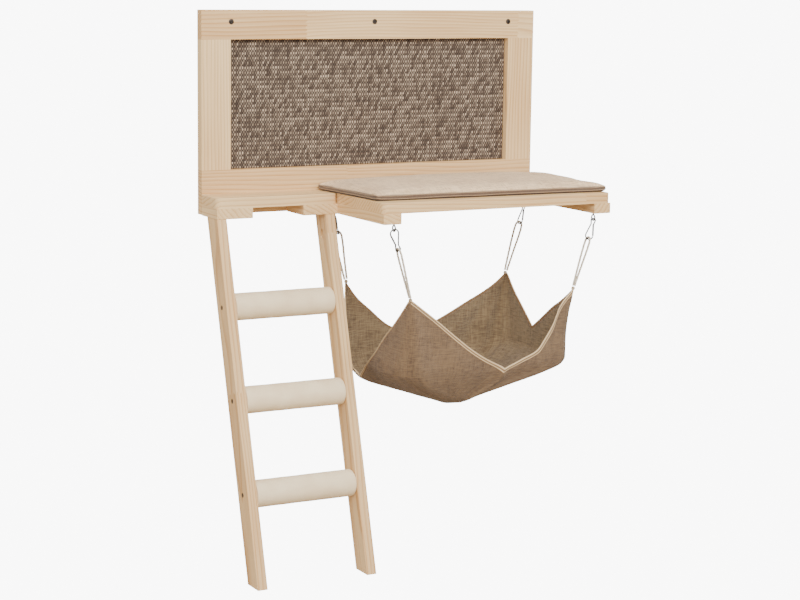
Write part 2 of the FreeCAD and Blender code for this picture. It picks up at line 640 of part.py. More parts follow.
def hook_gate(end, side):
    """Sprung gate: a bar from the pin to the nose, slotted for the hook's tongue."""
    hanger = Hanger(end, side)
    pivot, tip = hanger.on_hook(*GATE_PIVOT), hanger.on_hook(*GATE_TIP)
    bar = rod(pivot, tip, GATE_DIAMETER).fuse(Part.makeSphere(GATE_DIAMETER / 2, pivot))
    back = (pivot - tip).normalize()
    depth = hanger.hook_normal * (TONGUE_THICKNESS / 2 + GATE_CLEARANCE)
    wide = back.cross(hanger.hook_normal) * GATE_DIAMETER
    near, far = pivot - back * (GATE_DIAMETER / 2 + GATE_CLEARANCE), pivot + back * GATE_DIAMETER
    outline = [near - wide - depth, near + wide - depth, far + wide - depth, far - wide - depth]
    slot = Part.Face(Part.makePolygon(outline + outline[:1])).extrude(depth * 2)
    reach = hanger.hook_normal * GATE_DIAMETER
    return bar.cut([slot, rod(pivot - reach, pivot + reach, GATE_PIN_DIAMETER + 2 * SCREW_CLEARANCE)])


def cord_route(end, side):
    """Points of a cord loop, from the knot up one strand, round the hook and down to the knot."""
    hanger = Hanger(end, side)
    gap = HOOK_WIRE / 2 + CORD_DIAMETER / 2 + LINK_CLEARANCE
    head = hanger.hook_foot - hanger.down * gap
    length = (hanger.corner - head).Length - KNOT_RADIUS - LINK_CLEARANCE
    half, foot = CORD_LOOP_WIDTH / 2, CORD_LOOP_FOOT / 2
    route = [(foot, length)]
    for strand, towards in zip(CORD_STRANDS, (half, -half)):
        route += [(across * towards, along * length) for across, along in strand]
    route.append((-foot, length))
    return [head + hanger.down * along + hanger.loop_across * across for across, along in route]


def cord_loop(end, side):
    """Loop of cord between a snap hook and a corner of the hammock."""
    route = cord_route(end, side)
    solid, path, used = tube(route, CORD_DIAMETER)
    section = math.pi * CORD_DIAMETER ** 2 / 4
    print(
        f"cord_loop_{end}_{side}: length {path.Length:.1f}, radii", [round(radius, 1) for radius in used],
        f"volume over section x length {solid.Volume / (section * path.Length):.4f}",
    )
    return solid


# ---------------------------------------------------------------- hammock
def bag_corner(end, side):
    """Hanging corner of the cloth."""
    return Hanger(end, side).corner


def rounded_outline(corners, radii, height, bows=((), (), (), ())):
    """Closed outline of four corner arcs at a height; a side with bows is that many shallow arcs in a row."""
    points = [Vector(x, y, height) for x, y in corners]
    edges, joints = [], []
    for index, here in enumerate(points):
        before, after = points[index - 1], points[(index + 1) % 4]
        inward, outward = (here - before).normalize(), (after - here).normalize()
        turn = inward.getAngle(outward)
        reach = radii[index] * math.tan(turn / 2)
        bulge = radii[index] / math.cos(turn / 2) - radii[index]
        middle = here + (outward - inward).normalize() * bulge
        joints.append((here - inward * reach, middle, here + outward * reach))
    for index, (start, middle, end) in enumerate(joints):
        edges.append(Part.Arc(start, middle, end).toShape())
        side = joints[(index + 1) % 4][0] - end
        normal = side.cross(Z_AXIS).normalize()
        if not bows[index]:
            edges.append(Part.LineSegment(end, end + side).toShape())
        for count, bow in enumerate(bows[index]):
            first = end + side * (count / len(bows[index]))
            last = end + side * ((count + 1) / len(bows[index]))
            edges.append(Part.Arc(first, (first + last) / 2 + normal * bow, last).toShape())
    return Part.Wire(edges)


def bag_solid(inset):
    """Filled shape of the hammock, drawn in by an inset on every side."""
    left, right = bag_corner("front", "left"), bag_corner("front", "right")
    back = bag_corner("back", "left").y
    wide, deep = (right.x - left.x) / 100, (back - left.y) / 100
    signs = ((left.x, 1, left.y, 1), (right.x, -1, left.y, 1), (right.x, -1, back, -1), (left.x, 1, back, -1))
    sections = []
    for row in BAG_LEVELS:
        corners = (row.front_left, row.front_right, row.back_right, row.back_left)
        places = [
            (x + sx * (across * wide + inset), y + sy * (inward * deep + inset))
            for (x, sx, y, sy), (across, inward, _) in zip(signs, corners)
        ]
        radii = [max(rounding * deep - inset, BAG_LEAST_ROUND) for _, _, rounding in corners]
        bow, fold = BAG_BELLY * row.bow / 100, BACK_FOLD * row.fold / 100
        lift = inset if row.level > BAG_WALL_SHARE else 0
        height = left.z - BAG_HEIGHT * row.level / 100 + lift
        bows = ((bow,), (bow,), (-fold, fold, -fold), (bow,))
        sections.append(rounded_outline(places, radii, height, bows))
    return Part.makeLoft(sections, True, True)


def hem_arm(start, end, sag):
    """Edge from one point to another that hangs a little below the straight chord."""
    middle = (start + end) / 2 - Z_AXIS * sag
    return Part.Arc(start, middle, end).toShape()


def hem_cut(name, lowered):
    """Room above one hem, a wedge through one side of the bag, lowered by an amount."""
    hem = HEMS[name]
    if name in ENDS:
        start, end = bag_corner(name, "left"), bag_corner(name, "right")
        run, through = X_AXIS, Y_AXIS
    else:
        start, end = bag_corner("front", name), bag_corner("back", name)
        run, through = Y_AXIS, X_AXIS
    width = (end - start).dot(run)
    percent = BAG_HEIGHT / 100
    origin = Vector(start.x, start.y, bag_corner("front", "left").z - lowered) - through * HEM_REACH
    first = origin + run * TIP_WIDTH
    low = origin + run * (width * hem.along / 100) - Z_AXIS * (percent * hem.drop)
    last = origin + run * (width - TIP_WIDTH)
    above = Z_AXIS * (lowered + HEM_CUT_SPARE)
    wire = Part.Wire([
        hem_arm(first, low, percent * hem.first_sag), hem_arm(low, last, percent * hem.second_sag),
        Part.LineSegment(last, last + above).toShape(),
        Part.LineSegment(last + above, first + above).toShape(),
        Part.LineSegment(first + above, first).toShape(),
    ])
    return Part.Face(wire).extrude(through * (2 * HEM_REACH))


def above_corners():
    """Everything of the bag above the level of its corners."""
    corner, opposite = bag_corner("front", "left"), bag_corner("back", "right")
    spare = BINDING_WIDTH
    return box(corner.x - spare, opposite.x + spare, corner.y - spare, opposite.y + spare,
               corner.z, corner.z + BAG_HEIGHT)


def knots():
    """Balls of sewn cord at the four corners."""
    return [Part.makeSphere(KNOT_RADIUS, bag_corner(end, side)) for end, side in hangers()]


def largest_left(shape, tools):
    """The largest solid of a shape that is left by the tools, cut one by one."""
    for tool in tools:
        shape = shape.cut(tool)
    return max(shape.Solids, key=lambda solid: solid.Volume)


def open_bag(inset, outset, lowered):
    """The bag as a thin wall, cut down to its hems."""
    tools = [bag_solid(inset), above_corners()] + [hem_cut(name, lowered) for name in HEMS]
    return largest_left(bag_solid(-outset), tools)


def hammock_cloth():
    """Bag of cloth that hangs by its four corners, with a dipping hem on each side."""
    return largest_left(open_bag(CLOTH_THICKNESS, 0, BINDING_WIDTH), knots())


def hammock_binding():
    """Folded tape along the four hems."""
    bag = open_bag(CLOTH_THICKNESS + BINDING_EXTRA, BINDING_EXTRA, 0)
    strips = [bag.common(hem_cut(name, BINDING_WIDTH)) for name in HEMS]
    return Part.makeCompound([largest_left(strip, knots()) for strip in strips])


def corner_knots():
    """The knots that join the cloth and the cord loops."""
    return Part.makeCompound(knots())


# ---------------------------------------------------------------- cushion
def cushion():
    """Boxed seat pad: a low side band drawn in between two seams, and a crowned top."""
    front = PLATFORM_FRONT + CUSHION_SETBACK
    back = FACE - CUSHION_WALL_GAP
    right = PLATFORM_RIGHT - CUSHION_END_GAP
    base = SHELF_TOP + CUSHION_CLEARANCE
    crown = CUSHION_THICKNESS - CUSHION_EDGE
    corners = [
        (PLATFORM_LEFT + CUSHION_FRONT_LEFT, front, 1, 1), (right, front, -1, 1),
        (right, back, -1, -1), (PLATFORM_LEFT + CUSHION_BACK_LEFT, back, 1, -1),
    ]
    levels = [(CUSHION_EDGE * share, inset) for share, inset in CUSHION_BAND]
    levels += [(CUSHION_EDGE + crown * share, CUSHION_CROWN_RUN * run) for share, run in CUSHION_CROWN]
    sections = []
    for height, inset in levels:
        places = [(x + sx * inset, y + sy * inset) for x, y, sx, sy in corners]
        radius = CUSHION_CORNER_RADIUS + inset * CUSHION_CORNER_GROWTH
        sections.append(rounded_outline(places, [radius] * 4, base + height))
    return Part.makeLoft(sections, True, True)


# ---------------------------------------------------------------- writing the pieces
def pieces():
    """Every node's name and shape."""
    made = {
        "top_rail": top_rail(), "bottom_rail": bottom_rail(), "left_stile": stile(-1),
        "right_stile": stile(1), "frame_dowels": frame_dowels(), "mat_backing": mat_backing(),
        "sisal_mat": sisal_mat(), "step_board": step_board(), "platform_board": platform_board(),
        "shelf_screws": shelf_screws(), "batten_screws": batten_screws(), "rung_screws": rung_screws(),
        "ladder_screws": ladder_screws(), "screw_eyes": screw_eyes(), "hammock_cloth": hammock_cloth(),
        "hammock_binding": hammock_binding(), "corner_knots": corner_knots(), "cushion": cushion(),
    }
    for name in BATTENS:
        made[name] = batten(name)
    for side in SIDES:
        made[f"ladder_rail_{side}"] = ladder_rail(side)
    for index in range(RUNG_COUNT):
        made[f"rung_core_{index + 1}"] = rung_core(index)
        made[f"rung_wrap_{index + 1}"] = rung_wrap(index)
    for end, side in hangers():
        made[f"snap_hook_{end}_{side}"] = snap_hook(end, side)
        made[f"gate_pin_{end}_{side}"] = gate_pin(end, side)
        made[f"hook_gate_{end}_{side}"] = hook_gate(end, side)
        made[f"cord_loop_{end}_{side}"] = cord_loop(end, side)
    return made


def main():
    """Write one STEP file for each piece."""
    os.makedirs("parts", exist_ok=True)
    for name, shape in pieces().items():
        if not shape.isValid():
            print(f"{name}: the shape isn't valid")
        shape.exportStep(f"parts/{name}.step")
        bounds = shape.BoundBox
        print(
            f"{name}: {len(shape.Solids)} solids, volume {shape.Volume:.1f}, "
            f"x {bounds.XMin:.1f} {bounds.XMax:.1f}, y {bounds.YMin:.1f} {bounds.YMax:.1f}, "
            f"z {bounds.ZMin:.1f} {bounds.ZMax:.1f}"
        )


main()
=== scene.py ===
"""Looks of the wall mounted cat tree: pine, woven mat, wound rungs, seat pad, cord loops and cloth hammock.

Metres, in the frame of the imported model: +Z is up, the wall is Y = 0 and the object faces -Y.
"""

import json
import logging
import math
from dataclasses import dataclass, field
from enum import Enum
from typing import Callable, Optional, Sequence, Union

import bmesh
import bpy
import numpy as np
from mathutils import Matrix, Vector

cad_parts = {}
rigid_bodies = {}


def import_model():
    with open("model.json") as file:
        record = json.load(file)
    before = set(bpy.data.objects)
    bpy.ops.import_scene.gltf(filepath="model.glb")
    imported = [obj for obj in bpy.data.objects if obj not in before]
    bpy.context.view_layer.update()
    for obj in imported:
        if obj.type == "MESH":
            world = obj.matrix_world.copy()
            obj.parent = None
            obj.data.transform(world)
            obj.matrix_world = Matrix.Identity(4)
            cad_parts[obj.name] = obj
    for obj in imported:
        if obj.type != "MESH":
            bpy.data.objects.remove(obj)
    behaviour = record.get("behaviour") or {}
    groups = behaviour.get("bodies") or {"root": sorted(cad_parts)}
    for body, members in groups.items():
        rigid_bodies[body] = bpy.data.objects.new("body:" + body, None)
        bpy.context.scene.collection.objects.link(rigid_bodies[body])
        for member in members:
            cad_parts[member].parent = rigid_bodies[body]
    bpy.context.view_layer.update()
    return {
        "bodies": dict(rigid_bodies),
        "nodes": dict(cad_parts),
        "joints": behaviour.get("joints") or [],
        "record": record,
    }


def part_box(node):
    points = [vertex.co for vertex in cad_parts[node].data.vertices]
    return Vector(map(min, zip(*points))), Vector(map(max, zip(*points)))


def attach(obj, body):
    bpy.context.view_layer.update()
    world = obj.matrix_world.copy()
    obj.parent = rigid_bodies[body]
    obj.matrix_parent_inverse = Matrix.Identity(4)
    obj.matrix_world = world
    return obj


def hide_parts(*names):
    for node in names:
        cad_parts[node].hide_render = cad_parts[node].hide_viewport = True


LOG = logging.getLogger("cat_tree")
Array = np.ndarray
Socket = bpy.types.NodeSocket
Value = Union[float, Sequence[float], Socket]
MM = 0.001
# A growth ring, the run from one finger joint to the next, a finger and a thread of cloth, in metres.
RING_WIDTH = 0.0062
FINGER_BOARD = 0.43
FINGER = 0.004
THREAD_PITCH = 0.0009


# ------------------------------------------------------------------ small tools
def srgb(red: float, green: float, blue: float) -> tuple[float, float, float, float]:
    """Linear colour of an sRGB one given from 0 to 255.

    Args:
        red: Red part.
        green: Green part.
        blue: Blue part.

    Returns:
        Linear red, green and blue from 0 to 1, and an alpha of one.
    """
    part = np.array([red, green, blue]) / 255.0
    linear = np.where(part <= 0.04045, part / 12.92, ((part + 0.055) / 1.055) ** 2.4)
    return (*[float(value) for value in linear], 1.0)


def smooth_table(at: Array, stations: Sequence[float], values: Sequence[float]) -> Array:
    """Monotone cubic through a table.

    Each span is a Hermite cubic, and its slope at a station is the harmonic mean of the two chords there.

    Args:
        at: Places to read the table at.
        stations: Rising places of the table's rows.
        values: Value of each row.

    Returns:
        One value for each place.
    """
    place, height = np.asarray(stations, float), np.asarray(values, float)
    step = np.diff(place)
    chord = np.diff(height) / step
    product = chord[:-1] * chord[1:]
    total = chord[:-1] + chord[1:]
    inner = np.where(product > 0, 2 * product / np.where(product > 0, total, 1.0), 0.0)
    slope = np.concatenate([chord[:1], inner, chord[-1:]])
    index = np.clip(np.searchsorted(place, at, side="right") - 1, 0, len(step) - 1)
    t = np.clip((at - place[index]) / step[index], 0, 1)
    rise = t * t * (3 - 2 * t)
    early, late = t * (1 - t) ** 2, t * t * (t - 1)
    bend = step[index] * (early * slope[index] + late * slope[index + 1])
    return height[index] * (1 - rise) + height[index + 1] * rise + bend


def smooth_step(low: float, high: float, at: Array) -> Array:
    """Zero below low, one above high and a cubic between."""
    t = np.clip((at - low) / (high - low), 0, 1)
    return t * t * (3 - 2 * t)


def unit(vectors: Array) -> Array:
    """Vectors along the last axis, brought to length one."""
    return vectors / np.maximum(np.linalg.norm(vectors, axis=-1, keepdims=True), 1e-12)


def new_object(name: str, vertices: Array, faces: Array, corner_uv: Array, closed: bool) -> bpy.types.Object:
    """Mesh object from flat arrays, with its doubles merged.

    Args:
        name: Name of the object.
        vertices: (n, 3) places.
        faces: (m, 4) vertex indices.
        corner_uv: (m, 4, 2) UV of each face corner.
        closed: Whether the surface encloses a volume, so that its normals are turned outwards.

    Returns:
        The linked object, shaded smooth.
    """
    mesh = bpy.data.meshes.new(name)
    mesh.from_pydata(vertices.reshape(-1, 3).tolist(), [], faces.tolist())
    layer = mesh.uv_layers.new(name="UVMap")
    layer.data.foreach_set("uv", corner_uv.reshape(-1).astype(np.float32))
    work = bmesh.new()
    work.from_mesh(mesh)
    bmesh.ops.remove_doubles(work, verts=work.verts, dist=1e-6)
    if closed:
        bmesh.ops.recalc_face_normals(work, faces=work.faces)
    work.to_mesh(mesh)
    work.free()
    mesh.polygons.foreach_set("use_smooth", np.ones(len(mesh.polygons), bool))
    mesh.update()
    made = bpy.data.objects.new(name, mesh)
    bpy.context.scene.collection.objects.link(made)
    return made


@dataclass
class Patch:
    """A grid of points and UVs: rows first, columns second; UV has one more column where it wraps."""

    points: Array
    uv: Array
    wrap: bool = False

    def arrays(self, first: int) -> tuple[Array, Array, Array]:
        """Flat vertices, faces and corner UVs, with vertex numbers from first on.

        Args:
            first: Number of the first vertex.

        Returns:
            (n, 3) places, (m, 4) vertex numbers and (m, 4, 2) UVs.
        """
        rows, columns = self.points.shape[:2]
        row, column = np.meshgrid(
            np.arange(rows - 1), np.arange(columns if self.wrap else columns - 1), indexing="ij"
        )
        corner_row = np.stack([row, row, row + 1, row + 1], axis=-1).reshape(-1, 4)
        corner_column = np.stack([column, column + 1, column + 1, column], axis=-1).reshape(-1, 4)
        faces = first + corner_row * columns + corner_column % columns
        return self.points.reshape(-1, 3), faces, self.uv[corner_row, corner_column]


def patches_object(name: str, patches: Sequence[Patch], closed: bool) -> bpy.types.Object:
    """One object from several grids whose shared borders are merged.

    Args:
        name: Name of the object.
        patches: The grids.
        closed: Whether they enclose a volume.

    Returns:
        The linked object, shaded smooth.
    """
    vertices, faces, corner_uv, count = [], [], [], 0
    for patch in patches:
        places, corners, uv = patch.arrays(count)
        vertices.append(places)
        faces.append(corners)
        corner_uv.append(uv)
        count += len(places)
    return new_object(
        name, np.concatenate(vertices), np.concatenate(faces), np.concatenate(corner_uv), closed
    )


def mesh_points(mesh: bpy.types.Mesh) -> Array:
    """All vertex places of a mesh.

    Args:
        mesh: Mesh to read.

    Returns:
        (n, 3) places in the mesh's own order.
    """
    places = np.empty(len(mesh.vertices) * 3)
    mesh.vertices.foreach_get("co", places)
    return places.reshape(-1, 3)


def evaluated_mesh(piece: bpy.types.Object) -> bpy.types.Mesh:
    """New mesh of a piece with its modifiers."""
    bpy.context.view_layer.update()
    return bpy.data.meshes.new_from_object(piece.evaluated_get(bpy.context.evaluated_depsgraph_get()))


def box_uv(mesh: bpy.types.Mesh) -> None:
    """UV map in metres: each face corner takes the two coordinates square to its face's main direction.

    Args:
        mesh: Mesh that gets the map, which it must not have yet.
    """
    faces, corners = len(mesh.polygons), len(mesh.loops)
    normals, sizes, vertex = np.empty(faces * 3), np.empty(faces, int), np.empty(corners, int)
    mesh.polygons.foreach_get("normal", normals)
    mesh.polygons.foreach_get("loop_total", sizes)
    mesh.loops.foreach_get("vertex_index", vertex)
    main = np.repeat(np.abs(normals.reshape(-1, 3)).argmax(axis=1), sizes)
    first, second = np.array([1, 0, 0])[main], np.array([2, 2, 1])[main]
    place = mesh_points(mesh)[vertex]
    row = np.arange(corners)
    uv = np.stack([place[row, first], place[row, second]], axis=1)
    layer = mesh.uv_layers.new(name="UVMap")
    layer.data.foreach_set("uv", uv.reshape(-1).astype(np.float32))


def tube_patch(path: Array, across: Array, section: Callable[[Array, Array], Array], around: int) -> Patch:
    """Grid of a profile carried along a path.

    A point is path + r (cos a · across + sin a · side), where side = tangent x across and the radius r is
    section(angle, length run so far). The ends close on the path's own end points.

    Args:
        path: (n, 3) points.
        across: (3,) or (n, 3) direction square to the path that angles start from.
        section: Radius for grids of angles and lengths.
        around: Number of points round the profile.

    Returns:
        The wrapped grid, with UV (length, angle share).
    """
    tangent = unit(np.gradient(path, axis=0))
    across = np.broadcast_to(across, path.shape)
    across = unit(across - tangent * np.sum(across * tangent, axis=1, keepdims=True))
    side = np.cross(tangent, across)
    run = np.concatenate([[0.0], np.cumsum(np.linalg.norm(np.diff(path, axis=0), axis=1))])
    angle = np.linspace(0, 2 * math.pi, around, endpoint=False)
    angles, runs = np.meshgrid(angle, run)
    radius = section(angles, runs)[..., None]
    rim = across[:, None] * np.cos(angles)[..., None] + side[:, None] * np.sin(angles)[..., None]
    body = path[:, None] + radius * rim
    ends = [np.repeat(path[end][None, None], around, axis=1) for end in (0, -1)]
    points = np.concatenate([ends[0], body, ends[1]])
    length = np.concatenate([run[:1], run, run[-1:]])
    share = np.linspace(0, 1, around + 1)
    uv = np.stack(np.meshgrid(length, share, indexing="ij"), axis=-1)
    return Patch(points, uv, wrap=True)


def round_tube(path: Array, radius: float, around: int) -> Patch:
    """Grid of a plain round cord whose angles start from straight up."""
    return tube_patch(path, np.array([0, 0, 1.0]), lambda angles, runs: np.full_like(angles, radius), around)


def rounded_side(
    corners: Sequence[Array], reaches: Sequence[Union[Array, float]], share: Array
) -> tuple[Array, Array, Array]:
    """Side of a four-cornered outline, with its half of the rounding at both ends.

    A side runs straight between two corners. Within a corner's reach the point is that of the
    quadratic Bezier curve from side to side with the corner as its middle control point.

    Args:
        corners: Places (..., 2) of the corner before the side, its two ends and the corner after it.
        reaches: How far the rounding of each end reaches, held to 0.48 of the shorter side there.
        share: Shares of the side's run.

    Returns:
        Places (..., 2), the run from end to end and its length.
    """
    before, start, end, after = corners
    run = end - start
    length = np.linalg.norm(run, axis=-1)
    place = start + run * share[..., None]
    for corner, other, reach, gone, sign in (
        (start, before, reaches[0], share * length, 1), (end, after, reaches[1], (1 - share) * length, -1)
    ):
        spread = np.linalg.norm(other - corner, axis=-1)
        reach = np.minimum(reach, 0.48 * np.minimum(length, spread))
        t = (0.5 + 0.5 * np.clip(gone / reach, 0, 1))[..., None]
        far = corner + unit(other - corner) * reach[..., None]
        near = corner + run / length[..., None] * (sign * reach)[..., None]
        bent = (1 - t) ** 2 * far + 2 * t * (1 - t) * corner + t ** 2 * near
        place = np.where((gone < reach)[..., None], bent, place)
    return place, run, length


# ------------------------------------------------------------------ node trees
class Graph:
    """Short way to add and wire the nodes of one tree."""

    def __init__(self, tree: bpy.types.NodeTree) -> None:
        """Work on a tree."""
        self.tree = tree

    def add(self, kind: str, inputs: Optional[dict] = None, **settings: object) -> bpy.types.Node:
        """New node with its settings, and inputs given as values or as sockets to link from.

        Args:
            kind: Type name of the node.
            inputs: Value or socket of each input, by number or name.
            settings: Properties of the node.

        Returns:
            The node.
        """
        node = self.tree.nodes.new(kind)
        for name, value in settings.items():
            setattr(node, name, value)
        for key, value in (inputs or {}).items():
            if isinstance(value, Socket):
                self.tree.links.new(value, node.inputs[key])
            else:
                node.inputs[key].default_value = value
        return node

    def math(self, operation: str, first: Value, second: Value = 0.0) -> Socket:
        """One scalar sum."""
        return self.add("ShaderNodeMath", {0: first, 1: second}, operation=operation).outputs[0]

    def plus(self, first: Value, second: Value) -> Socket:
        """Two values added."""
        return self.math("ADD", first, second)

    def times(self, first: Value, second: Value) -> Socket:
        """Two values multiplied."""
        return self.math("MULTIPLY", first, second)

    def mix(self, factor: Value, first: Value, second: Value) -> Socket:
        """Blend of two colours."""
        inputs = {0: factor, 6: first, 7: second}
        return self.add("ShaderNodeMix", inputs, data_type="RGBA").outputs[2]

    def chance(self, value: Socket) -> Socket:
        """A random number from 0 to 1 for each value."""
        return self.add("ShaderNodeTexWhiteNoise", {"W": value}, noise_dimensions="1D").outputs[0]

    def noise(self, place: Socket, scale: float, detail: float = 2.0, bend: float = 0.0) -> Socket:
        """Value noise about one half."""
        inputs = {"Vector": place, "Scale": scale, "Detail": detail, "Distortion": bend}
        return self.add("ShaderNodeTexNoise", inputs).outputs[0]

    def mapped(self, place: Socket, scale: Sequence[float], turn: Sequence[float] = (0, 0, 0)) -> Socket:
        """Place turned about the origin, then stretched along each axis."""
        turned = self.add("ShaderNodeMapping", {"Vector": place, "Rotation": turn}).outputs[0]
        return self.add("ShaderNodeMapping", {"Vector": turned, "Scale": scale}).outputs[0]

    def split(self, place: Socket) -> Sequence[Socket]:
        """The three parts of a vector."""
        return self.add("ShaderNodeSeparateXYZ", {0: place}).outputs

    def spread(self, value: Socket, low: float, high: float, to_low: float, to_high: float) -> Socket:
        """Value carried from one range to another and held there."""
        inputs = {0: value, 1: low, 2: high, 3: to_low, 4: to_high}
        return self.add("ShaderNodeMapRange", inputs).outputs[0]

    def bump(self, height: Socket, distance: float, strength: float = 1.0) -> Socket:
        """Normal tilted by a height given from 0 to 1, over a distance in metres."""
        inputs = {"Height": height, "Distance": distance, "Strength": strength}
        return self.add("ShaderNodeBump", inputs).outputs[0]

    def group(self, tree: bpy.types.NodeTree, inputs: dict) -> bpy.types.Node:
        """A shared group placed in this tree."""
        return self.add("ShaderNodeGroup", inputs, node_tree=tree)


class SharedGroup:
    """A node group with named sockets, built once and placed in many materials."""

    KINDS = {"value": "NodeSocketFloat", "vector": "NodeSocketVector", "colour": "NodeSocketColor"}

    def __init__(self, name: str, inputs: dict[str, str], outputs: dict[str, str]) -> None:
        """Open a group.

        Args:
            name: Name of the group.
            inputs: Kind of each input by name.
            outputs: Kind of each output by name.
        """
        self.tree = bpy.data.node_groups.new(name, "ShaderNodeTree")
        for direction, sockets in (("INPUT", inputs), ("OUTPUT", outputs)):
            for socket, kind in sockets.items():
                self.tree.interface.new_socket(socket, in_out=direction, socket_type=self.KINDS[kind])
        self.graph = Graph(self.tree)
        self.source = self.graph.add("NodeGroupInput").outputs
        self.sink = self.graph.add("NodeGroupOutput").inputs

    def give(self, name: str, value: Socket) -> None:
        """Send a socket out of the group."""
        self.tree.links.new(value, self.sink[name])


def grain_group() -> bpy.types.NodeTree:
    """Growth rings about a far pith, long fibres and finger joints, for wood whose grain runs along X.

    A ring is the fraction of the distance from the pith over the ring width, darkest just before it ends.

    Returns:
        The group's tree.
    """
    made = SharedGroup(
        "wood_grain",
        {"Place": "vector", "Seed": "value", "Pale": "colour", "Dark": "colour", "Joint": "value"},
        {"Color": "colour", "Roughness": "value", "Height": "value"},
    )
    g, source = made.graph, made.source
    x, y, z = g.split(source["Place"])
    zigzag = g.math("PINGPONG", g.plus(y, z), FINGER)
    along = g.plus(x, g.plus(zigzag, source["Joint"]))
    block = g.math("FLOOR", g.math("DIVIDE", along, FINGER_BOARD))
    chance = g.chance(g.plus(block, source["Seed"]))
    shift = g.add("ShaderNodeCombineXYZ", {0: g.times(chance, 3.0), 1: source["Seed"], 2: 0.0})
    place = g.add("ShaderNodeVectorMath", {0: source["Place"], 1: shift.outputs[0]}).outputs[0]
    wander = g.noise(g.mapped(place, (1.6, 9.0, 9.0)), 1.0, 2.0)
    across = g.plus(y, g.times(g.math("SUBTRACT", chance, 0.2), 0.09))
    deep = g.plus(z, g.plus(0.03, g.times(chance, 0.05)))
    squares = g.plus(g.times(across, across), g.times(deep, deep))
    distance = g.plus(g.math("SQRT", squares), g.times(wander, 0.05))
    ring = g.math("FRACT", g.math("DIVIDE", distance, RING_WIDTH))
    drop = g.math("SUBTRACT", 1.0, g.math("POWER", ring, 16.0))
    late = g.times(g.math("POWER", ring, 3.5), drop)
    fibre = g.noise(g.mapped(place, (7.0, 620.0, 620.0)), 1.0, 3.0)
    cloud = g.noise(g.mapped(place, (2.5, 14.0, 14.0)), 1.0, 3.0)
    dark = g.plus(g.times(late, 0.75), g.spread(fibre, 0.25, 0.75, 0.0, 0.4))
    dark = g.plus(dark, g.spread(cloud, 0.3, 0.7, -0.16, 0.26))
    dark = g.plus(dark, g.spread(chance, 0.0, 1.0, -0.12, 0.16))
    made.give("Color", g.mix(dark, source["Pale"], source["Dark"]))
    made.give("Roughness", g.spread(fibre, 0.2, 0.8, 0.52, 0.68))
    made.give("Height", g.plus(g.times(fibre, 0.7), g.times(late, 0.3)))
    return made.tree


def weave_group() -> bpy.types.NodeTree:
    """Plain weave: on a chequer of crossings either the warp or the weft lies on top.

    A thread's height is the sine over its own width, and each thread has its own tone.

    Returns:
        The group's tree.
    """
    made = SharedGroup(
        "plain_weave", {"Place": "vector", "Pitch": "value"},
        {"Height": "value", "Thread": "value", "GapShade": "value"},
    )
    g = made.graph
    wobble = g.add("ShaderNodeTexNoise", {"Vector": made.source["Place"], "Scale": 90.0}).outputs[1]
    slight = g.add("ShaderNodeVectorMath", {0: wobble, "Scale": 0.0009}, operation="SCALE").outputs[0]
    place = g.add("ShaderNodeVectorMath", {0: made.source["Place"], 1: slight}).outputs[0]
    x, y, _ = g.split(place)
    warp, weft = (g.math("DIVIDE", part, made.source["Pitch"]) for part in (x, y))
    cell = g.plus(g.math("FLOOR", warp), g.math("FLOOR", weft))
    over = g.math("GREATER_THAN", g.math("FRACT", g.times(cell, 0.5)), 0.25)
    under = g.math("SUBTRACT", 1.0, over)
    ridges, tones = [], []
    for count, share in ((warp, over), (weft, under)):
        wave = g.math("ABSOLUTE", g.math("SINE", g.times(count, math.pi)))
        ridges.append(g.times(wave, share))
        tones.append(g.times(g.chance(g.math("FLOOR", count)), share))
    height = g.plus(*ridges)
    made.give("Height", height)
    made.give("Thread", g.plus(*tones))
    # Painted shade between the threads, darkest where the thread on top sinks.
    made.give("GapShade", g.math("SUBTRACT", 1.0, g.math("POWER", height, 0.5)))
    return made.tree


def handling_group() -> bpy.types.NodeTree:
    """Slow and quick clouds of tone, as handling, dust and dye leave them, from 0 to 1.

    Returns:
        The group's tree.
    """
    made = SharedGroup(
        "handling", {"Place": "vector", "Size": "value"}, {"Cloud": "value", "Speck": "value"}
    )
    g = made.graph
    place = g.add(
        "ShaderNodeVectorMath", {0: made.source["Place"], 3: made.source["Size"]}, operation="SCALE"
    ).outputs[0]
    made.give("Cloud", g.spread(g.noise(place, 1.0, 3.0, 0.3), 0.32, 0.68, 0.0, 1.0))
    made.give("Speck", g.spread(g.noise(place, 26.0, 2.0), 0.3, 0.7, 0.0, 1.0))
    return made.tree


class Groups:
    """The shared groups, each built when it is first wanted."""

    makers = {"grain": grain_group, "weave": weave_group, "handling": handling_group}
    made: dict[str, bpy.types.NodeTree] = {}

    @classmethod
    def get(cls, name: str) -> bpy.types.NodeTree:
        """One shared group by name.

        Args:
            name: Key of the makers.

        Returns:
            The group's tree.
        """
        if name not in cls.made:
            cls.made[name] = cls.makers[name]()
        return cls.made[name]


# ------------------------------------------------------------------ finishes
class Grain(Enum):
    """Which way a board's grain runs, as the turn that brings it onto X."""

    ACROSS = (0.0, 0.0, 0.0)
    TO_WALL = (0.0, 0.0, math.pi / 2)
    UPRIGHT = (0.0, math.pi / 2, 0.0)
    LEANING = (math.radians(15.8), math.pi / 2, 0.0)


def open_material(name: str) -> tuple[bpy.types.Material, Graph]:
    """Empty node material and its graph.

    Args:
        name: Name of the material.

    Returns:
        The material, and the graph that fills its tree.
    """
    material = bpy.data.materials.new(name)
    material.use_nodes = True
    material.node_tree.nodes.clear()
    return material, Graph(material.node_tree)


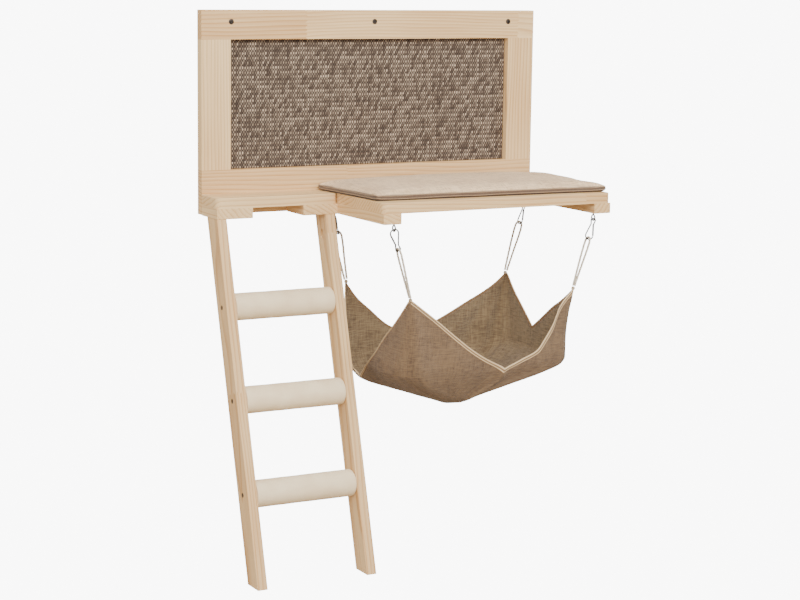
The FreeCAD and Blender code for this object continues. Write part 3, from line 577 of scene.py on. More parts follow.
class Finish:
    """What all finishes share: one material whose shader's inputs each class wires up for itself."""

    name: str
    slot: str

    def inputs(self, g: Graph) -> dict[str, Value]:
        """Inputs of the shader by name, made in the material's graph."""
        raise NotImplementedError

    def build(self) -> bpy.types.Material:
        """Make the material.

        Returns:
            The material, with a Principled shader joined to its output.
        """
        material, g = open_material(self.name)
        shader = g.add("ShaderNodeBsdfPrincipled", self.inputs(g))
        g.add("ShaderNodeOutputMaterial", {"Surface": shader.outputs[0]})
        return material


@dataclass(frozen=True)
class Pine(Finish):
    """Sanded, clear pine board."""

    name: str
    grain: Grain
    seed: float
    joint: float = 0.1
    pale: tuple = srgb(233, 199, 146)
    dark: tuple = srgb(184, 132, 72)
    slot: str = "pine"

    def inputs(self, g: Graph) -> dict[str, Value]:
        """Rings, fibres and finger joints in two tones, with the fibres' relief.

        Args:
            g: Graph of the material.

        Returns:
            Inputs of the shader by name.
        """
        place = g.add("ShaderNodeTexCoord").outputs["Object"]
        turned = g.mapped(place, (1, 1, 1), self.grain.value)
        wood = g.group(
            Groups.get("grain"),
            {"Place": turned, "Seed": self.seed, "Pale": self.pale, "Dark": self.dark, "Joint": self.joint},
        )
        return {
            "Base Color": wood.outputs["Color"], "Roughness": wood.outputs["Roughness"],
            "Normal": g.bump(wood.outputs["Height"], 0.00012, 0.5),
        }


@dataclass(frozen=True)
class Cloth(Finish):
    """Woven cloth that reads the piece's own UV map, in metres."""

    name: str
    slot: str
    colour: tuple
    shade: tuple
    pitch: float = THREAD_PITCH
    relief: float = 0.3 * MM
    slub: float = 0.7
    cloud_size: float = 14.0
    # For a boxed cushion: share of the band's painted shade, height of the band's top, how softly the
    # colours change, and how far below the top the painted shadow under the pad starts.
    band_shade: float = 0.0
    band_top: float = 0.0
    band_soft: float = 2 * MM
    shadow_top: float = 7.5 * MM
    # Colours of the band's painted shade and of the painted shadow under the pad.
    band_painted_shade: tuple = srgb(84, 62, 44)
    painted_underside_shadow: tuple = srgb(48, 34, 24)

    def inputs(self, g: Graph) -> dict[str, Value]:
        """Threads, slubs and clouds in two tones, with the weave's relief.

        Args:
            g: Graph of the material.

        Returns:
            Inputs of the shader by name.
        """
        coordinates = g.add("ShaderNodeTexCoord").outputs
        place = coordinates["UV"]
        weave = g.group(Groups.get("weave"), {"Place": place, "Pitch": self.pitch})
        cloud = g.group(Groups.get("handling"), {"Place": place, "Size": self.cloud_size})
        weft = g.noise(g.mapped(place, (60, 430, 1)), 1.0, 2.0)
        warp = g.noise(g.mapped(place, (390, 45, 1)), 1.0, 2.0)
        streak = g.plus(g.spread(weft, 0.3, 0.7, -0.5, 0.5), g.spread(warp, 0.3, 0.7, -0.35, 0.35))
        # Each thread's own tone, and painted shade in the gaps between threads.
        tone = g.plus(g.times(weave.outputs["Thread"], 0.4), g.times(weave.outputs["GapShade"], 0.45))
        tone = g.plus(tone, g.times(streak, self.slub))
        tone = g.plus(tone, g.spread(cloud.outputs["Cloud"], 0.0, 1.0, -0.1, 0.25))
        colour = g.mix(tone, self.colour, self.shade)
        # Painted shade on the band below its top, and a painted shadow lowest down, for the gap under the
        # pad.
        if self.band_shade > 0:
            height = g.split(coordinates["Object"])[2]
            low = g.spread(height, self.band_top - self.band_soft, self.band_top, self.band_shade, 0.0)
            shadow = self.band_top - self.shadow_top
            underside_shadow_mask = g.spread(height, shadow - self.band_soft, shadow, 1.0, 0.0)
            colour = g.mix(underside_shadow_mask, g.mix(low, colour, self.band_painted_shade), self.painted_underside_shadow)
        return {
            "Base Color": colour,
            "Roughness": g.spread(weave.outputs["Height"], 0.0, 1.0, 0.95, 0.82),
            "Normal": g.bump(weave.outputs["Height"], self.relief),
            "Sheen Weight": 0.12, "Sheen Roughness": 0.6,
        }


@dataclass(frozen=True)
class Fibre(Finish):
    """Twisted or wound fibre that reads the piece's own UV map: length in metres, then share round it."""

    name: str
    slot: str
    colour: tuple
    shade: tuple
    pitch: float
    strands: float
    relief: float

    def inputs(self, g: Graph) -> dict[str, Value]:
        """Turns with painted shade in the valleys between them, hairs and clouds.

        Args:
            g: Graph of the material.

        Returns:
            Inputs of the shader by name.
        """
        coordinates = g.add("ShaderNodeTexCoord").outputs
        along, around, _ = g.split(coordinates["UV"])
        wound = g.math("DIVIDE", along, self.pitch)
        turn = g.math("SUBTRACT", g.times(around, self.strands), wound)
        valley = g.math("ABSOLUTE", g.math("SINE", g.times(turn, math.pi)))
        hairs = g.noise(g.mapped(coordinates["Object"], (900, 900, 900)), 1.0, 3.0)
        cloud = g.group(Groups.get("handling"), {"Place": coordinates["Object"], "Size": 30.0})
        # Painted shade in the grooves between turns; hairs and clouds add their own tone.
        dark = g.times(g.math("POWER", g.math("SUBTRACT", 1.0, valley), 2.0), 0.8)
        dark = g.plus(dark, g.times(hairs, 0.25))
        dark = g.plus(dark, g.times(cloud.outputs["Cloud"], 0.2))
        return {
            "Base Color": g.mix(dark, self.colour, self.shade), "Roughness": 0.85,
            "Normal": g.bump(hairs, self.relief),
        }


@dataclass(frozen=True)
class Steel(Finish):
    """Plated steel, a little dull where it has been handled."""

    name: str
    slot: str
    colour: tuple
    shade: tuple

    def inputs(self, g: Graph) -> dict[str, Value]:
        """Metal with clouds of two tones and uneven gloss.

        Args:
            g: Graph of the material.

        Returns:
            Inputs of the shader by name.
        """
        place = g.add("ShaderNodeTexCoord").outputs["Object"]
        cloud = g.group(Groups.get("handling"), {"Place": place, "Size": 160.0})
        return {
            "Base Color": g.mix(cloud.outputs["Cloud"], self.colour, self.shade), "Metallic": 0.9,
            "Roughness": g.spread(cloud.outputs["Speck"], 0.0, 1.0, 0.32, 0.5),
        }


@dataclass(frozen=True)
class Plain(Finish):
    """Board or wood that is hardly seen: one colour with clouds and specks."""

    name: str
    slot: str
    colour: tuple
    shade: tuple

    def inputs(self, g: Graph) -> dict[str, Value]:
        """Two tones mixed by clouds and specks.

        Args:
            g: Graph of the material.

        Returns:
            Inputs of the shader by name.
        """
        place = g.add("ShaderNodeTexCoord").outputs["Object"]
        cloud = g.group(Groups.get("handling"), {"Place": place, "Size": 20.0})
        tone = g.plus(g.times(cloud.outputs["Cloud"], 0.5), g.times(cloud.outputs["Speck"], 0.4))
        return {
            "Base Color": g.mix(tone, self.colour, self.shade), "Roughness": 0.75,
            "Normal": g.bump(cloud.outputs["Speck"], 0.0002, 0.5),
        }


@dataclass(frozen=True)
class Sisal(Finish):
    """Looped sisal mat: pale loops in level rows and lower ones between them, at the pitches of the mesh."""

    name: str
    row: float
    loop: float
    # Pale colour of the loops, and dark colour of the gaps between them, which is painted shade.
    colour: tuple = srgb(212, 190, 164)
    shade: tuple = srgb(44, 29, 19)
    slot: str = "sisal"

    def inputs(self, g: Graph) -> dict[str, Value]:
        """Two sets of loops, each loop with its own tone, over gaps darkened as painted shade.

        Args:
            g: Graph of the material.

        Returns:
            Inputs of the shader by name.
        """
        coordinates = g.add("ShaderNodeTexCoord").outputs
        x, z, _ = g.split(coordinates["UV"])
        sway = g.times(g.noise(g.mapped(coordinates["Object"], (60, 60, 200)), 1.0, 2.0), 0.35)
        lights = []
        for shift, tallest in ((0.0, 1.0), (0.5, 0.4)):
            row = g.plus(g.math("DIVIDE", z, self.row), g.plus(sway, shift))
            loop = g.plus(g.math("DIVIDE", x, self.loop), shift)
            tall = g.math("ABSOLUTE", g.math("SINE", g.times(row, math.pi)))
            wide = g.math("ABSOLUTE", g.math("SINE", g.times(loop, math.pi)))
            crown = g.times(tall, g.math("POWER", wide, 0.8))
            cell = g.add("ShaderNodeCombineXYZ", {0: g.math("FLOOR", loop), 1: g.math("FLOOR", row)})
            chance = g.add("ShaderNodeTexWhiteNoise", {"Vector": cell.outputs[0]}).outputs[0]
            own = g.spread(chance, 0.0, 1.0, 0.2, 1.35)
            lights.append(g.times(g.spread(crown, 0.45, 0.95, 0.0, tallest), own))
        light = g.math("MAXIMUM", *lights)
        fibre = g.noise(g.mapped(coordinates["Object"], (1500, 700, 420)), 1.0, 3.0)
        cloud = g.group(Groups.get("handling"), {"Place": coordinates["Object"], "Size": 26.0})
        light = g.times(light, g.spread(fibre, 0.3, 0.7, 0.35, 1.1))
        light = g.times(light, g.spread(cloud.outputs["Speck"], 0.0, 1.0, 0.7, 1.15))
        return {
            # Painted shade by height: the gaps and the lower set of loops are darker than the crowns.
            "Base Color": g.mix(light, self.shade, self.colour), "Roughness": 0.88,
            "Normal": g.bump(fibre, 0.0004),
        }


@dataclass(frozen=True)
class HemTape(Finish):
    """Folded tape whose UV runs along it in metres and across it from 0 to 1: two cream ridges."""

    name: str
    slot: str = "hammock_tape"
    cream: tuple = srgb(212, 186, 145)
    taupe: tuple = srgb(134, 104, 72)
    stitch: float = 2.2 * MM

    def inputs(self, g: Graph) -> dict[str, Value]:
        """Cream ridges with their stitches on a taupe ground.

        Args:
            g: Graph of the material.

        Returns:
            Inputs of the shader by name.
        """
        along, across, _ = g.split(g.add("ShaderNodeTexCoord").outputs["UV"])
        edge = g.spread(across, 0.2, 0.26, 1.0, 0.0)
        start, stop = g.spread(across, 0.58, 0.62, 0.0, 1.0), g.spread(across, 0.78, 0.83, 1.0, 0.0)
        second = g.times(start, stop)
        cream = g.plus(edge, second)
        stitch = g.math("ABSOLUTE", g.math("SINE", g.times(along, math.pi / self.stitch)))
        threads = g.times(cream, g.spread(stitch, 0.0, 0.6, 0.72, 1.0))
        return {
            "Base Color": g.mix(threads, self.taupe, self.cream), "Roughness": 0.88,
            "Normal": g.bump(stitch, 0.0002),
        }


def dress(piece: bpy.types.Object, finish: Finish) -> bpy.types.Object:
    """Give a new piece its material and log the finish's name.

    Args:
        piece: Piece that takes the finish.
        finish: Finish to build.

    Returns:
        The same piece.
    """
    piece.data.materials.clear()
    piece.data.materials.append(finish.build())
    LOG.info("%s: %s", piece.name, finish.name)
    return piece


def dress_nodes(nodes: dict[str, bpy.types.Object], names: Sequence[str], finish: Finish) -> None:
    """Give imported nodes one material.

    Args:
        nodes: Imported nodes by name.
        names: Which of them take the finish.
        finish: Finish to build once for all.
    """
    material = finish.build()
    for name in names:
        piece = nodes[name]
        if not piece.material_slots:
            piece.data.materials.append(material)
        for slot in piece.material_slots:
            slot.material = material
    LOG.info("%s on %d nodes", finish.name, len(names))


# ------------------------------------------------------------------ camera, light and floor
@dataclass
class Photograph:
    """Camera at the photograph's place and angle."""

    place: tuple = (-1.66746, -3.19964, 0.09052)
    yaw: float = 0.4969
    pitch: float = -0.162
    roll: float = 0.0131
    lens: float = 90.886

    def build(self) -> None:
        """Make the camera and use it."""
        ahead = Vector((
            math.sin(self.yaw) * math.cos(self.pitch), math.cos(self.yaw) * math.cos(self.pitch),
            math.sin(self.pitch),
        ))
        level = Vector((math.cos(self.yaw), -math.sin(self.yaw), 0))
        above = level.cross(ahead)
        right = level * math.cos(self.roll) + above * math.sin(self.roll)
        up = above * math.cos(self.roll) - level * math.sin(self.roll)
        data = bpy.data.cameras.new("camera")
        data.lens, data.sensor_width, data.clip_end = self.lens, 36.0, 200.0
        camera = bpy.data.objects.new("camera", data)
        turn = Matrix((right, up, -ahead)).transposed()
        camera.matrix_world = Matrix.Translation(self.place) @ turn.to_4x4()
        bpy.context.scene.collection.objects.link(camera)
        bpy.context.scene.camera = camera


@dataclass
class Studio:
    """Plain pale floor under the ladder and soft light from all round."""

    floor_height: float = -0.9295
    floor_size: float = 90.0
    floor_paint: tuple = (0.42, 0.35, 0.27, 1.0)
    sky: float = 1.25
    glow: float = 10.0
    glow_share: float = 0.9
    lamp_size: float = 1.6
    aim: tuple = (0.0, -0.1, -0.35)
    # Name, place in metres and power in watts of each lamp.
    lamps: tuple = (
        ("key", (-0.7, -3.3, 1.5), 140.0), ("side", (2.6, -2.3, 1.6), 40.0),
        ("left", (-3.2, -1.4, 0.6), 34.0),
    )

    def build(self) -> None:
        """Make the floor, the sky and the lamps."""
        world = bpy.data.worlds.new("studio")
        bpy.context.scene.world = world
        world.use_nodes = True
        white = (1.0, 1.0, 1.0, 1.0)
        sky = world.node_tree.nodes["Background"].inputs
        sky[0].default_value, sky[1].default_value = white, self.sky
        half = self.floor_size
        grid = np.array([[[x, y, self.floor_height] for x in (-half, half)] for y in (-half, half)])
        floor = patches_object("floor", [Patch(grid, np.zeros((2, 2, 2)))], closed=False)
        material, g = open_material("floor")
        paint = g.add("ShaderNodeBsdfDiffuse", {"Color": self.floor_paint}).outputs[0]
        light = g.add("ShaderNodeEmission", {"Color": white, "Strength": self.glow}).outputs[0]
        camera_ray = g.add("ShaderNodeLightPath").outputs["Is Camera Ray"]
        seen = g.times(camera_ray, self.glow_share)
        both = g.add("ShaderNodeMixShader", {0: seen, 1: paint, 2: light}).outputs[0]
        g.add("ShaderNodeOutputMaterial", {"Surface": both})
        floor.data.materials.append(material)
        for lamp in self.lamps:
            self.lamp(*lamp)

    def lamp(self, name: str, place: tuple, power: float) -> None:
        """Square soft lamp that faces the middle of the object.

        Args:
            name: Name of the lamp.
            place: Where it stands, in metres.
            power: Its power in watts.
        """
        data = bpy.data.lights.new(name, "AREA")
        data.size, data.energy = self.lamp_size, power
        lamp = bpy.data.objects.new(name, data)
        ahead = Vector(self.aim) - Vector(place)
        lamp.matrix_world = Matrix.Translation(place) @ ahead.to_track_quat("-Z", "Y").to_matrix().to_4x4()
        bpy.context.scene.collection.objects.link(lamp)


# ------------------------------------------------------------------ scratching panel
@dataclass
class ScratchPanel:
    """Pine frame with a woven mat and three wall screws."""

    nodes: dict[str, bpy.types.Object]
    row: float = 8.15 * MM
    loop: float = 4.83 * MM
    relief: float = 1.5 * MM
    low_loop: float = 0.45
    rim: float = 2.5 * MM
    columns: int = 500
    rows: int = 184
    screw_places: tuple = (-0.275, 0.0, 0.275)
    screw_radius: float = 4.7 * MM
    screw_drive: float = 2.6 * MM
    screw_face: float = -0.0181
    screw_dome: float = 0.35 * MM
    screw_depth: float = 2.4 * MM
    cross_depth: float = 1.6 * MM
    # Half width of a cross arm at the face and at its floor.
    cross_arm: tuple = (0.62 * MM, 0.42 * MM)

    def mat(self) -> bpy.types.Object:
        """Mat as a front face of rows of loops, with sides down to its back.

        The relief is |sin(row)| |sin(loop)|^0.8, and 0.45 |cos(row)| |cos(loop)|^0.8 between those loops.

        Returns:
            The mat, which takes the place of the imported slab.
        """
        low, high = (np.array(corner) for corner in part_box("sisal_mat"))
        x = np.linspace(low[0], high[0], self.columns)
        z = np.linspace(low[2], high[2], self.rows)
        zs, xs = np.meshgrid(z, x, indexing="ij")
        row, loop = math.pi * zs / self.row, math.pi * xs / self.loop
        crown = np.maximum(np.abs(np.sin(row)) * np.abs(np.sin(loop)) ** 0.8,
                           self.low_loop * np.abs(np.cos(row)) * np.abs(np.cos(loop)) ** 0.8)
        uneven = 0.8 + 0.2 * np.sin(xs * 1211.0 + zs * 433.0) * np.sin(zs * 773.0 - xs * 91.0)
        rim = np.minimum(np.minimum(xs - low[0], high[0] - xs), np.minimum(zs - low[2], high[2] - zs))
        fade = smooth_step(0.0, self.rim, rim)
        y = low[1] + self.relief * (1 - crown * uneven * fade)
        front = np.stack([xs, y, zs], axis=-1)
        uv = np.stack([xs, zs], axis=-1)
        border = np.concatenate([front[0], front[1:, -1], front[-1, -2::-1], front[-2:0:-1, 0]])
        back = border.copy()
        back[:, 1] = high[1]
        sides = np.stack([back, border])
        side_uv = np.zeros((2, len(border) + 1, 2))
        mat = patches_object("woven_mat", [Patch(front, uv), Patch(sides, side_uv, wrap=True)], closed=False)
        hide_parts("sisal_mat")
        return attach(dress(mat, Sisal("looped_sisal", self.row, self.loop)), "frame")

    def wall_screw(self, number: int, x: float) -> bpy.types.Object:
        """Countersunk head with a cross recess.

        The face stands h(r, a) proud: a low dome, sunk by a cross whose arms taper with the depth.

        Args:
            number: Which screw, from one.
            x: Its place along the top rail.

        Returns:
            The screw head.
        """
        rows, columns = 30, 64
        radius = np.linspace(0, 1, rows)
        angle = np.linspace(0, 2 * math.pi, columns, endpoint=False)
        radii, angles = np.meshgrid(radius * self.screw_radius, angle, indexing="ij")
        across, upward = radii * np.cos(angles), radii * np.sin(angles)
        arm = np.minimum(np.abs(across), np.abs(upward))
        cross = smooth_step(*self.cross_arm, arm)
        cross = cross * smooth_step(self.screw_drive, self.screw_drive * 0.8, radii)
        dome = self.screw_dome * (1 - (radii / self.screw_radius) ** 2)
        face = np.stack([x + across, self.screw_face - dome + cross * self.cross_depth, upward], axis=-1)
        rim = face[-1]
        cone = np.stack([x + (rim[:, 0] - x) * 0.5, rim[:, 1] + self.screw_depth, rim[:, 2] * 0.5], axis=-1)
        tip = np.repeat(np.array([[x, self.screw_face + self.screw_depth, 0.0]]), columns, axis=0)
        points = np.concatenate([face, cone[None], tip[None]])
        uv = np.zeros((rows + 2, columns + 1, 2))
        screw = patches_object(f"wall_screw_{number}", [Patch(points, uv, wrap=True)], closed=True)
        dress(screw, Steel("screw_black", "zinc_steel", srgb(92, 84, 76), srgb(60, 54, 50)))
        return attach(screw, "frame")

    def build(self) -> None:
        """Dress the frame and make the mat and the screws."""
        for name, grain, seed, joint in (
            ("top_rail", Grain.ACROSS, 1.3, 0.1315), ("bottom_rail", Grain.ACROSS, 4.1, 0.05),
            ("left_stile", Grain.UPRIGHT, 7.7, 0.3), ("right_stile", Grain.UPRIGHT, 9.2, 0.3),
        ):
            dress_nodes(self.nodes, [name], Pine(f"pine_{name}", grain, seed, joint))
        beech = Plain("beech", "dowel_beech", srgb(205, 170, 130), srgb(180, 140, 100))
        dress_nodes(self.nodes, ["frame_dowels"], beech)
        board = Plain("backing", "backing_board", srgb(150, 116, 84), srgb(120, 90, 62))
        dress_nodes(self.nodes, ["mat_backing"], board)
        self.mat()
        for number, x in enumerate(self.screw_places):
            self.wall_screw(number + 1, x)


# ------------------------------------------------------------------ step, platform and ladder
@dataclass
class Boards:
    """Step and platform with their battens and screws."""

    nodes: dict[str, bpy.types.Object]

    def build(self) -> None:
        """Dress the boards, battens and screws."""
        dress_nodes(self.nodes, ["step_board"], Pine("pine_step", Grain.ACROSS, 12.4, 0.3))
        dress_nodes(self.nodes, ["platform_board"], Pine("pine_platform", Grain.ACROSS, 15.9, 0.13))
        for count, name in enumerate(
            ("step_batten_left", "step_batten_right", "platform_batten_left", "platform_batten_right")
        ):
            dress_nodes(self.nodes, [name], Pine(f"pine_{name}", Grain.TO_WALL, 20.5 + 3.1 * count))
        zinc = Steel("zinc", "zinc_steel", srgb(150, 150, 155), srgb(118, 116, 118))
        dress_nodes(self.nodes, ["shelf_screws", "batten_screws", "ladder_screws"], zinc)
        darker_finish = Steel("rung_screw_steel", "zinc_steel", srgb(110, 92, 70), srgb(78, 62, 48))
        dress_nodes(self.nodes, ["rung_screws"], darker_finish)


@dataclass
class Ladder:
    """Leaning rails with wound rungs."""

    nodes: dict[str, bpy.types.Object]
    turn_pitch: float = 1.9 * MM
    turn_relief: float = 0.3 * MM
    end_gapshade: float = 0.4 * MM
    end_round: float = 3.0 * MM
    unevenness: float = 0.25 * MM
    steps: int = 640
    around: int = 48

    def wrap(self, number: int) -> bpy.types.Object:
        """Winding on one rung.

        The radius is R + relief (|sin(turn)|^0.6 - 1), where turn counts the turns wound up to there, and
        the last few millimetres are rounded over.

        Args:
            number: Which rung, from one at the top.

        Returns:
            The winding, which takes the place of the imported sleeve.
        """
        name = f"rung_wrap_{number}"
        low, high = (np.array(corner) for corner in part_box(name))
        middle, outer = (low + high) / 2, (high[2] - low[2]) / 2
        x = np.linspace(low[0] + self.end_gapshade, high[0] - self.end_gapshade, self.steps)
        path = np.stack([x, np.full_like(x, middle[1]), np.full_like(x, middle[2])], axis=1)
        length = x[-1] - x[0]

        def section(angles: Array, runs: Array) -> Array:
            """Radius over the turns, drawn in at both ends.

            Args:
                angles: Grid of angles round the rung.
                runs: Grid of lengths from its start.

            Returns:
                Grid of radii.
            """
            turn = runs / self.turn_pitch - angles / (2 * math.pi)
            uneven = self.unevenness * np.sin(runs * 61.0 + number) * np.sin(runs * 23.0)
            ridge = self.turn_relief * (np.abs(np.sin(math.pi * turn)) ** 0.6 - 1)
            near_end = np.minimum(runs, length - runs) / self.end_round
            drawn = self.end_round * (1 - np.sqrt(1 - (1 - np.clip(near_end, 0, 1)) ** 2))
            return outer + ridge - drawn * 0.8 - np.abs(uneven)

        tube = tube_patch(path, np.array([0, 0, 1.0]), section, self.around)
        wrap = patches_object(f"wound_rung_{number}", [tube], closed=True)
        pale, shade = srgb(255, 239, 202), srgb(204, 170, 124)
        cream = Fibre("wound_cord", "rung_rope", pale, shade, self.turn_pitch, 1.0, 0.0004)
        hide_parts(name)
        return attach(dress(wrap, cream), "frame")

    def build(self) -> None:
        """Dress the rails and cores and make the windings."""
        for side, seed, joint in (("left", 31.7, 0.2), ("right", 36.1, 0.37)):
            pine = Pine(f"pine_rail_{side}", Grain.LEANING, seed, joint)
            dress_nodes(self.nodes, [f"ladder_rail_{side}"], pine)
        core = Plain("rung_wood", "rung_wood", srgb(214, 186, 146), srgb(186, 150, 108))
        dress_nodes(self.nodes, [f"rung_core_{number}" for number in (1, 2, 3)], core)
        for number in (1, 2, 3):
            self.wrap(number)


# ------------------------------------------------------------------ hangers
@dataclass
class Hanger:
    """Cord loop between one snap hook and one corner of the hammock."""

    end: str
    side: str
    hook_foot: tuple
    corner: tuple
    length: float
    loop_width: float = 14.0 * MM
    loop_foot: float = 4.6 * MM
    diameter: float = 4.0 * MM
    hook_wire: float = 2.6 * MM
    clearance: float = 0.3 * MM
    knot_radius: float = 3.9 * MM
    twist: float = 11.0 * MM
    steps: int = 260
    around: int = 27
    # A hook's lean: how far it runs out to its side and down.
    lean: tuple = (34.5, -124.0)
    # Strands as shares of the loop's half width and of its length, from the knot and from the hook.
    first_strand: tuple = ((0.74, 0.60), (1.03, 0.27), (1.0, 0.0))
    second_strand: tuple = ((1.0, 0.0), (0.92, 0.31), (0.62, 0.55))

    @property
    def name(self) -> str:
        """End and side in one word."""
        return f"{self.end}_{self.side}"

    def route(self) -> tuple[list[Vector], Vector]:
        """Points from the knot up one strand, over the hook and down to the knot, and the loop's normal.

        Returns:
            The points and the unit normal.
        """
        foot, corner = Vector(self.hook_foot), Vector(self.corner)
        toe = self.lean[0] * (1 if self.side == "left" else -1)
        hook_down = Vector((toe, 0, self.lean[1])).normalized()
        head = foot - hook_down * (self.hook_wire / 2 + self.diameter / 2 + self.clearance)
        down = (corner - head).normalized()
        across = Vector((0, 1, 0)) if self.end == "front" else Vector((0, 1, 0)).cross(down)
        reach = (corner - head).length - self.knot_radius - self.clearance
        half, close = self.loop_width / 2, self.loop_foot / 2
        places = [(close, reach)]
        for strand, towards in ((self.first_strand, half), (self.second_strand, -half)):
            places += [(share * towards, fall * reach) for share, fall in strand]
        places.append((-close, reach))
        return [head + down * fall + across * aside for aside, fall in places], across.cross(down)

    def centre_line(self, points: Sequence[Vector]) -> Array:
        """Smooth line of the route: a NURBS spline of order 3 with the points as its control points.

        Args:
            points: Control points from end to end.

        Returns:
            (n, 3) points of the line.
        """
        data = bpy.data.curves.new("route", "CURVE")
        data.dimensions, data.resolution_u = "3D", 26
        spline = data.splines.new("NURBS")
        spline.points.add(len(points) - 1)
        for point, place in zip(spline.points, points):
            point.co = (*place, 1.0)
        spline.order_u = 3
        spline.use_endpoint_u = True
        holder = bpy.data.objects.new("route", data)
        bpy.context.scene.collection.objects.link(holder)
        mesh = evaluated_mesh(holder)
        line = mesh_points(mesh)
        bpy.data.objects.remove(holder)
        bpy.data.meshes.remove(mesh)
        return line

    def build(self) -> bpy.types.Object:
        """Three-strand cord along the route.

        The radius is R (0.8 + 0.2 |cos(1.5 (angle - twist))|), so three strands wind round the line.

        Returns:
            The cord loop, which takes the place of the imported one.
        """
        points, normal = self.route()
        line = self.centre_line(points)
        run = np.concatenate([[0.0], np.cumsum(np.linalg.norm(np.diff(line, axis=0), axis=1))])
        even = np.linspace(0, run[-1], self.steps)
        path = np.stack([np.interp(even, run, line[:, axis]) for axis in range(3)], axis=1)

        def section(angles: Array, runs: Array) -> Array:
            """Radius of the three strands."""
            phase = angles - 2 * math.pi * runs / (3 * self.twist)
            return self.diameter / 2 * (0.8 + 0.2 * np.abs(np.cos(1.5 * phase)))

        patch = tube_patch(path, np.array(normal), section, self.around)
        cord = patches_object(f"twisted_cord_{self.name}", [patch], closed=True)
        pale, shade = srgb(222, 210, 190), srgb(160, 146, 124)
        cream = Fibre("twisted_cotton", "cord", pale, shade, self.twist, 3.0, 0.0002)
        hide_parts(f"cord_loop_{self.name}")
        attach(dress(cord, cream), f"hanger_{self.name}")
        return cord


HANGERS = (
    Hanger("front", "left", (-0.067052, -0.241, -0.375338), (-0.0429, -0.241, -0.4616), 0.190),
    Hanger("front", "right", (0.314252, -0.241, -0.375338), (0.2851, -0.241, -0.4612), 0.190),
    Hanger("back", "left", (-0.065739, -0.011, -0.374158), (-0.0488, -0.011, -0.4610), 0.196),
    Hanger("back", "right", (0.312939, -0.011, -0.374158), (0.2845, -0.011, -0.4648), 0.196),
)


def dress_hardware(nodes: dict[str, bpy.types.Object]) -> None:
    """Finish the screw eyes, snap hooks, gates and pins.

    Args:
        nodes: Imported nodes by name.
    """
    dull = Steel("dull_zinc", "hook_steel", srgb(128, 130, 130), srgb(92, 94, 94))
    parts = [f"{part}_{hanger.name}" for hanger in HANGERS for part in ("snap_hook", "hook_gate")]
    dress_nodes(nodes, ["screw_eyes"] + parts, dull)
    pin = Steel("pin_zinc", "zinc_steel", srgb(150, 150, 155), srgb(118, 116, 118))
    dress_nodes(nodes, [f"gate_pin_{hanger.name}" for hanger in HANGERS], pin)


# ------------------------------------------------------------------ hammock
class Side(Enum):
    """Sides of the bag, in the order of its outline seen from above."""

    FRONT = 0
    RIGHT = 1
    BACK = 2
    LEFT = 3


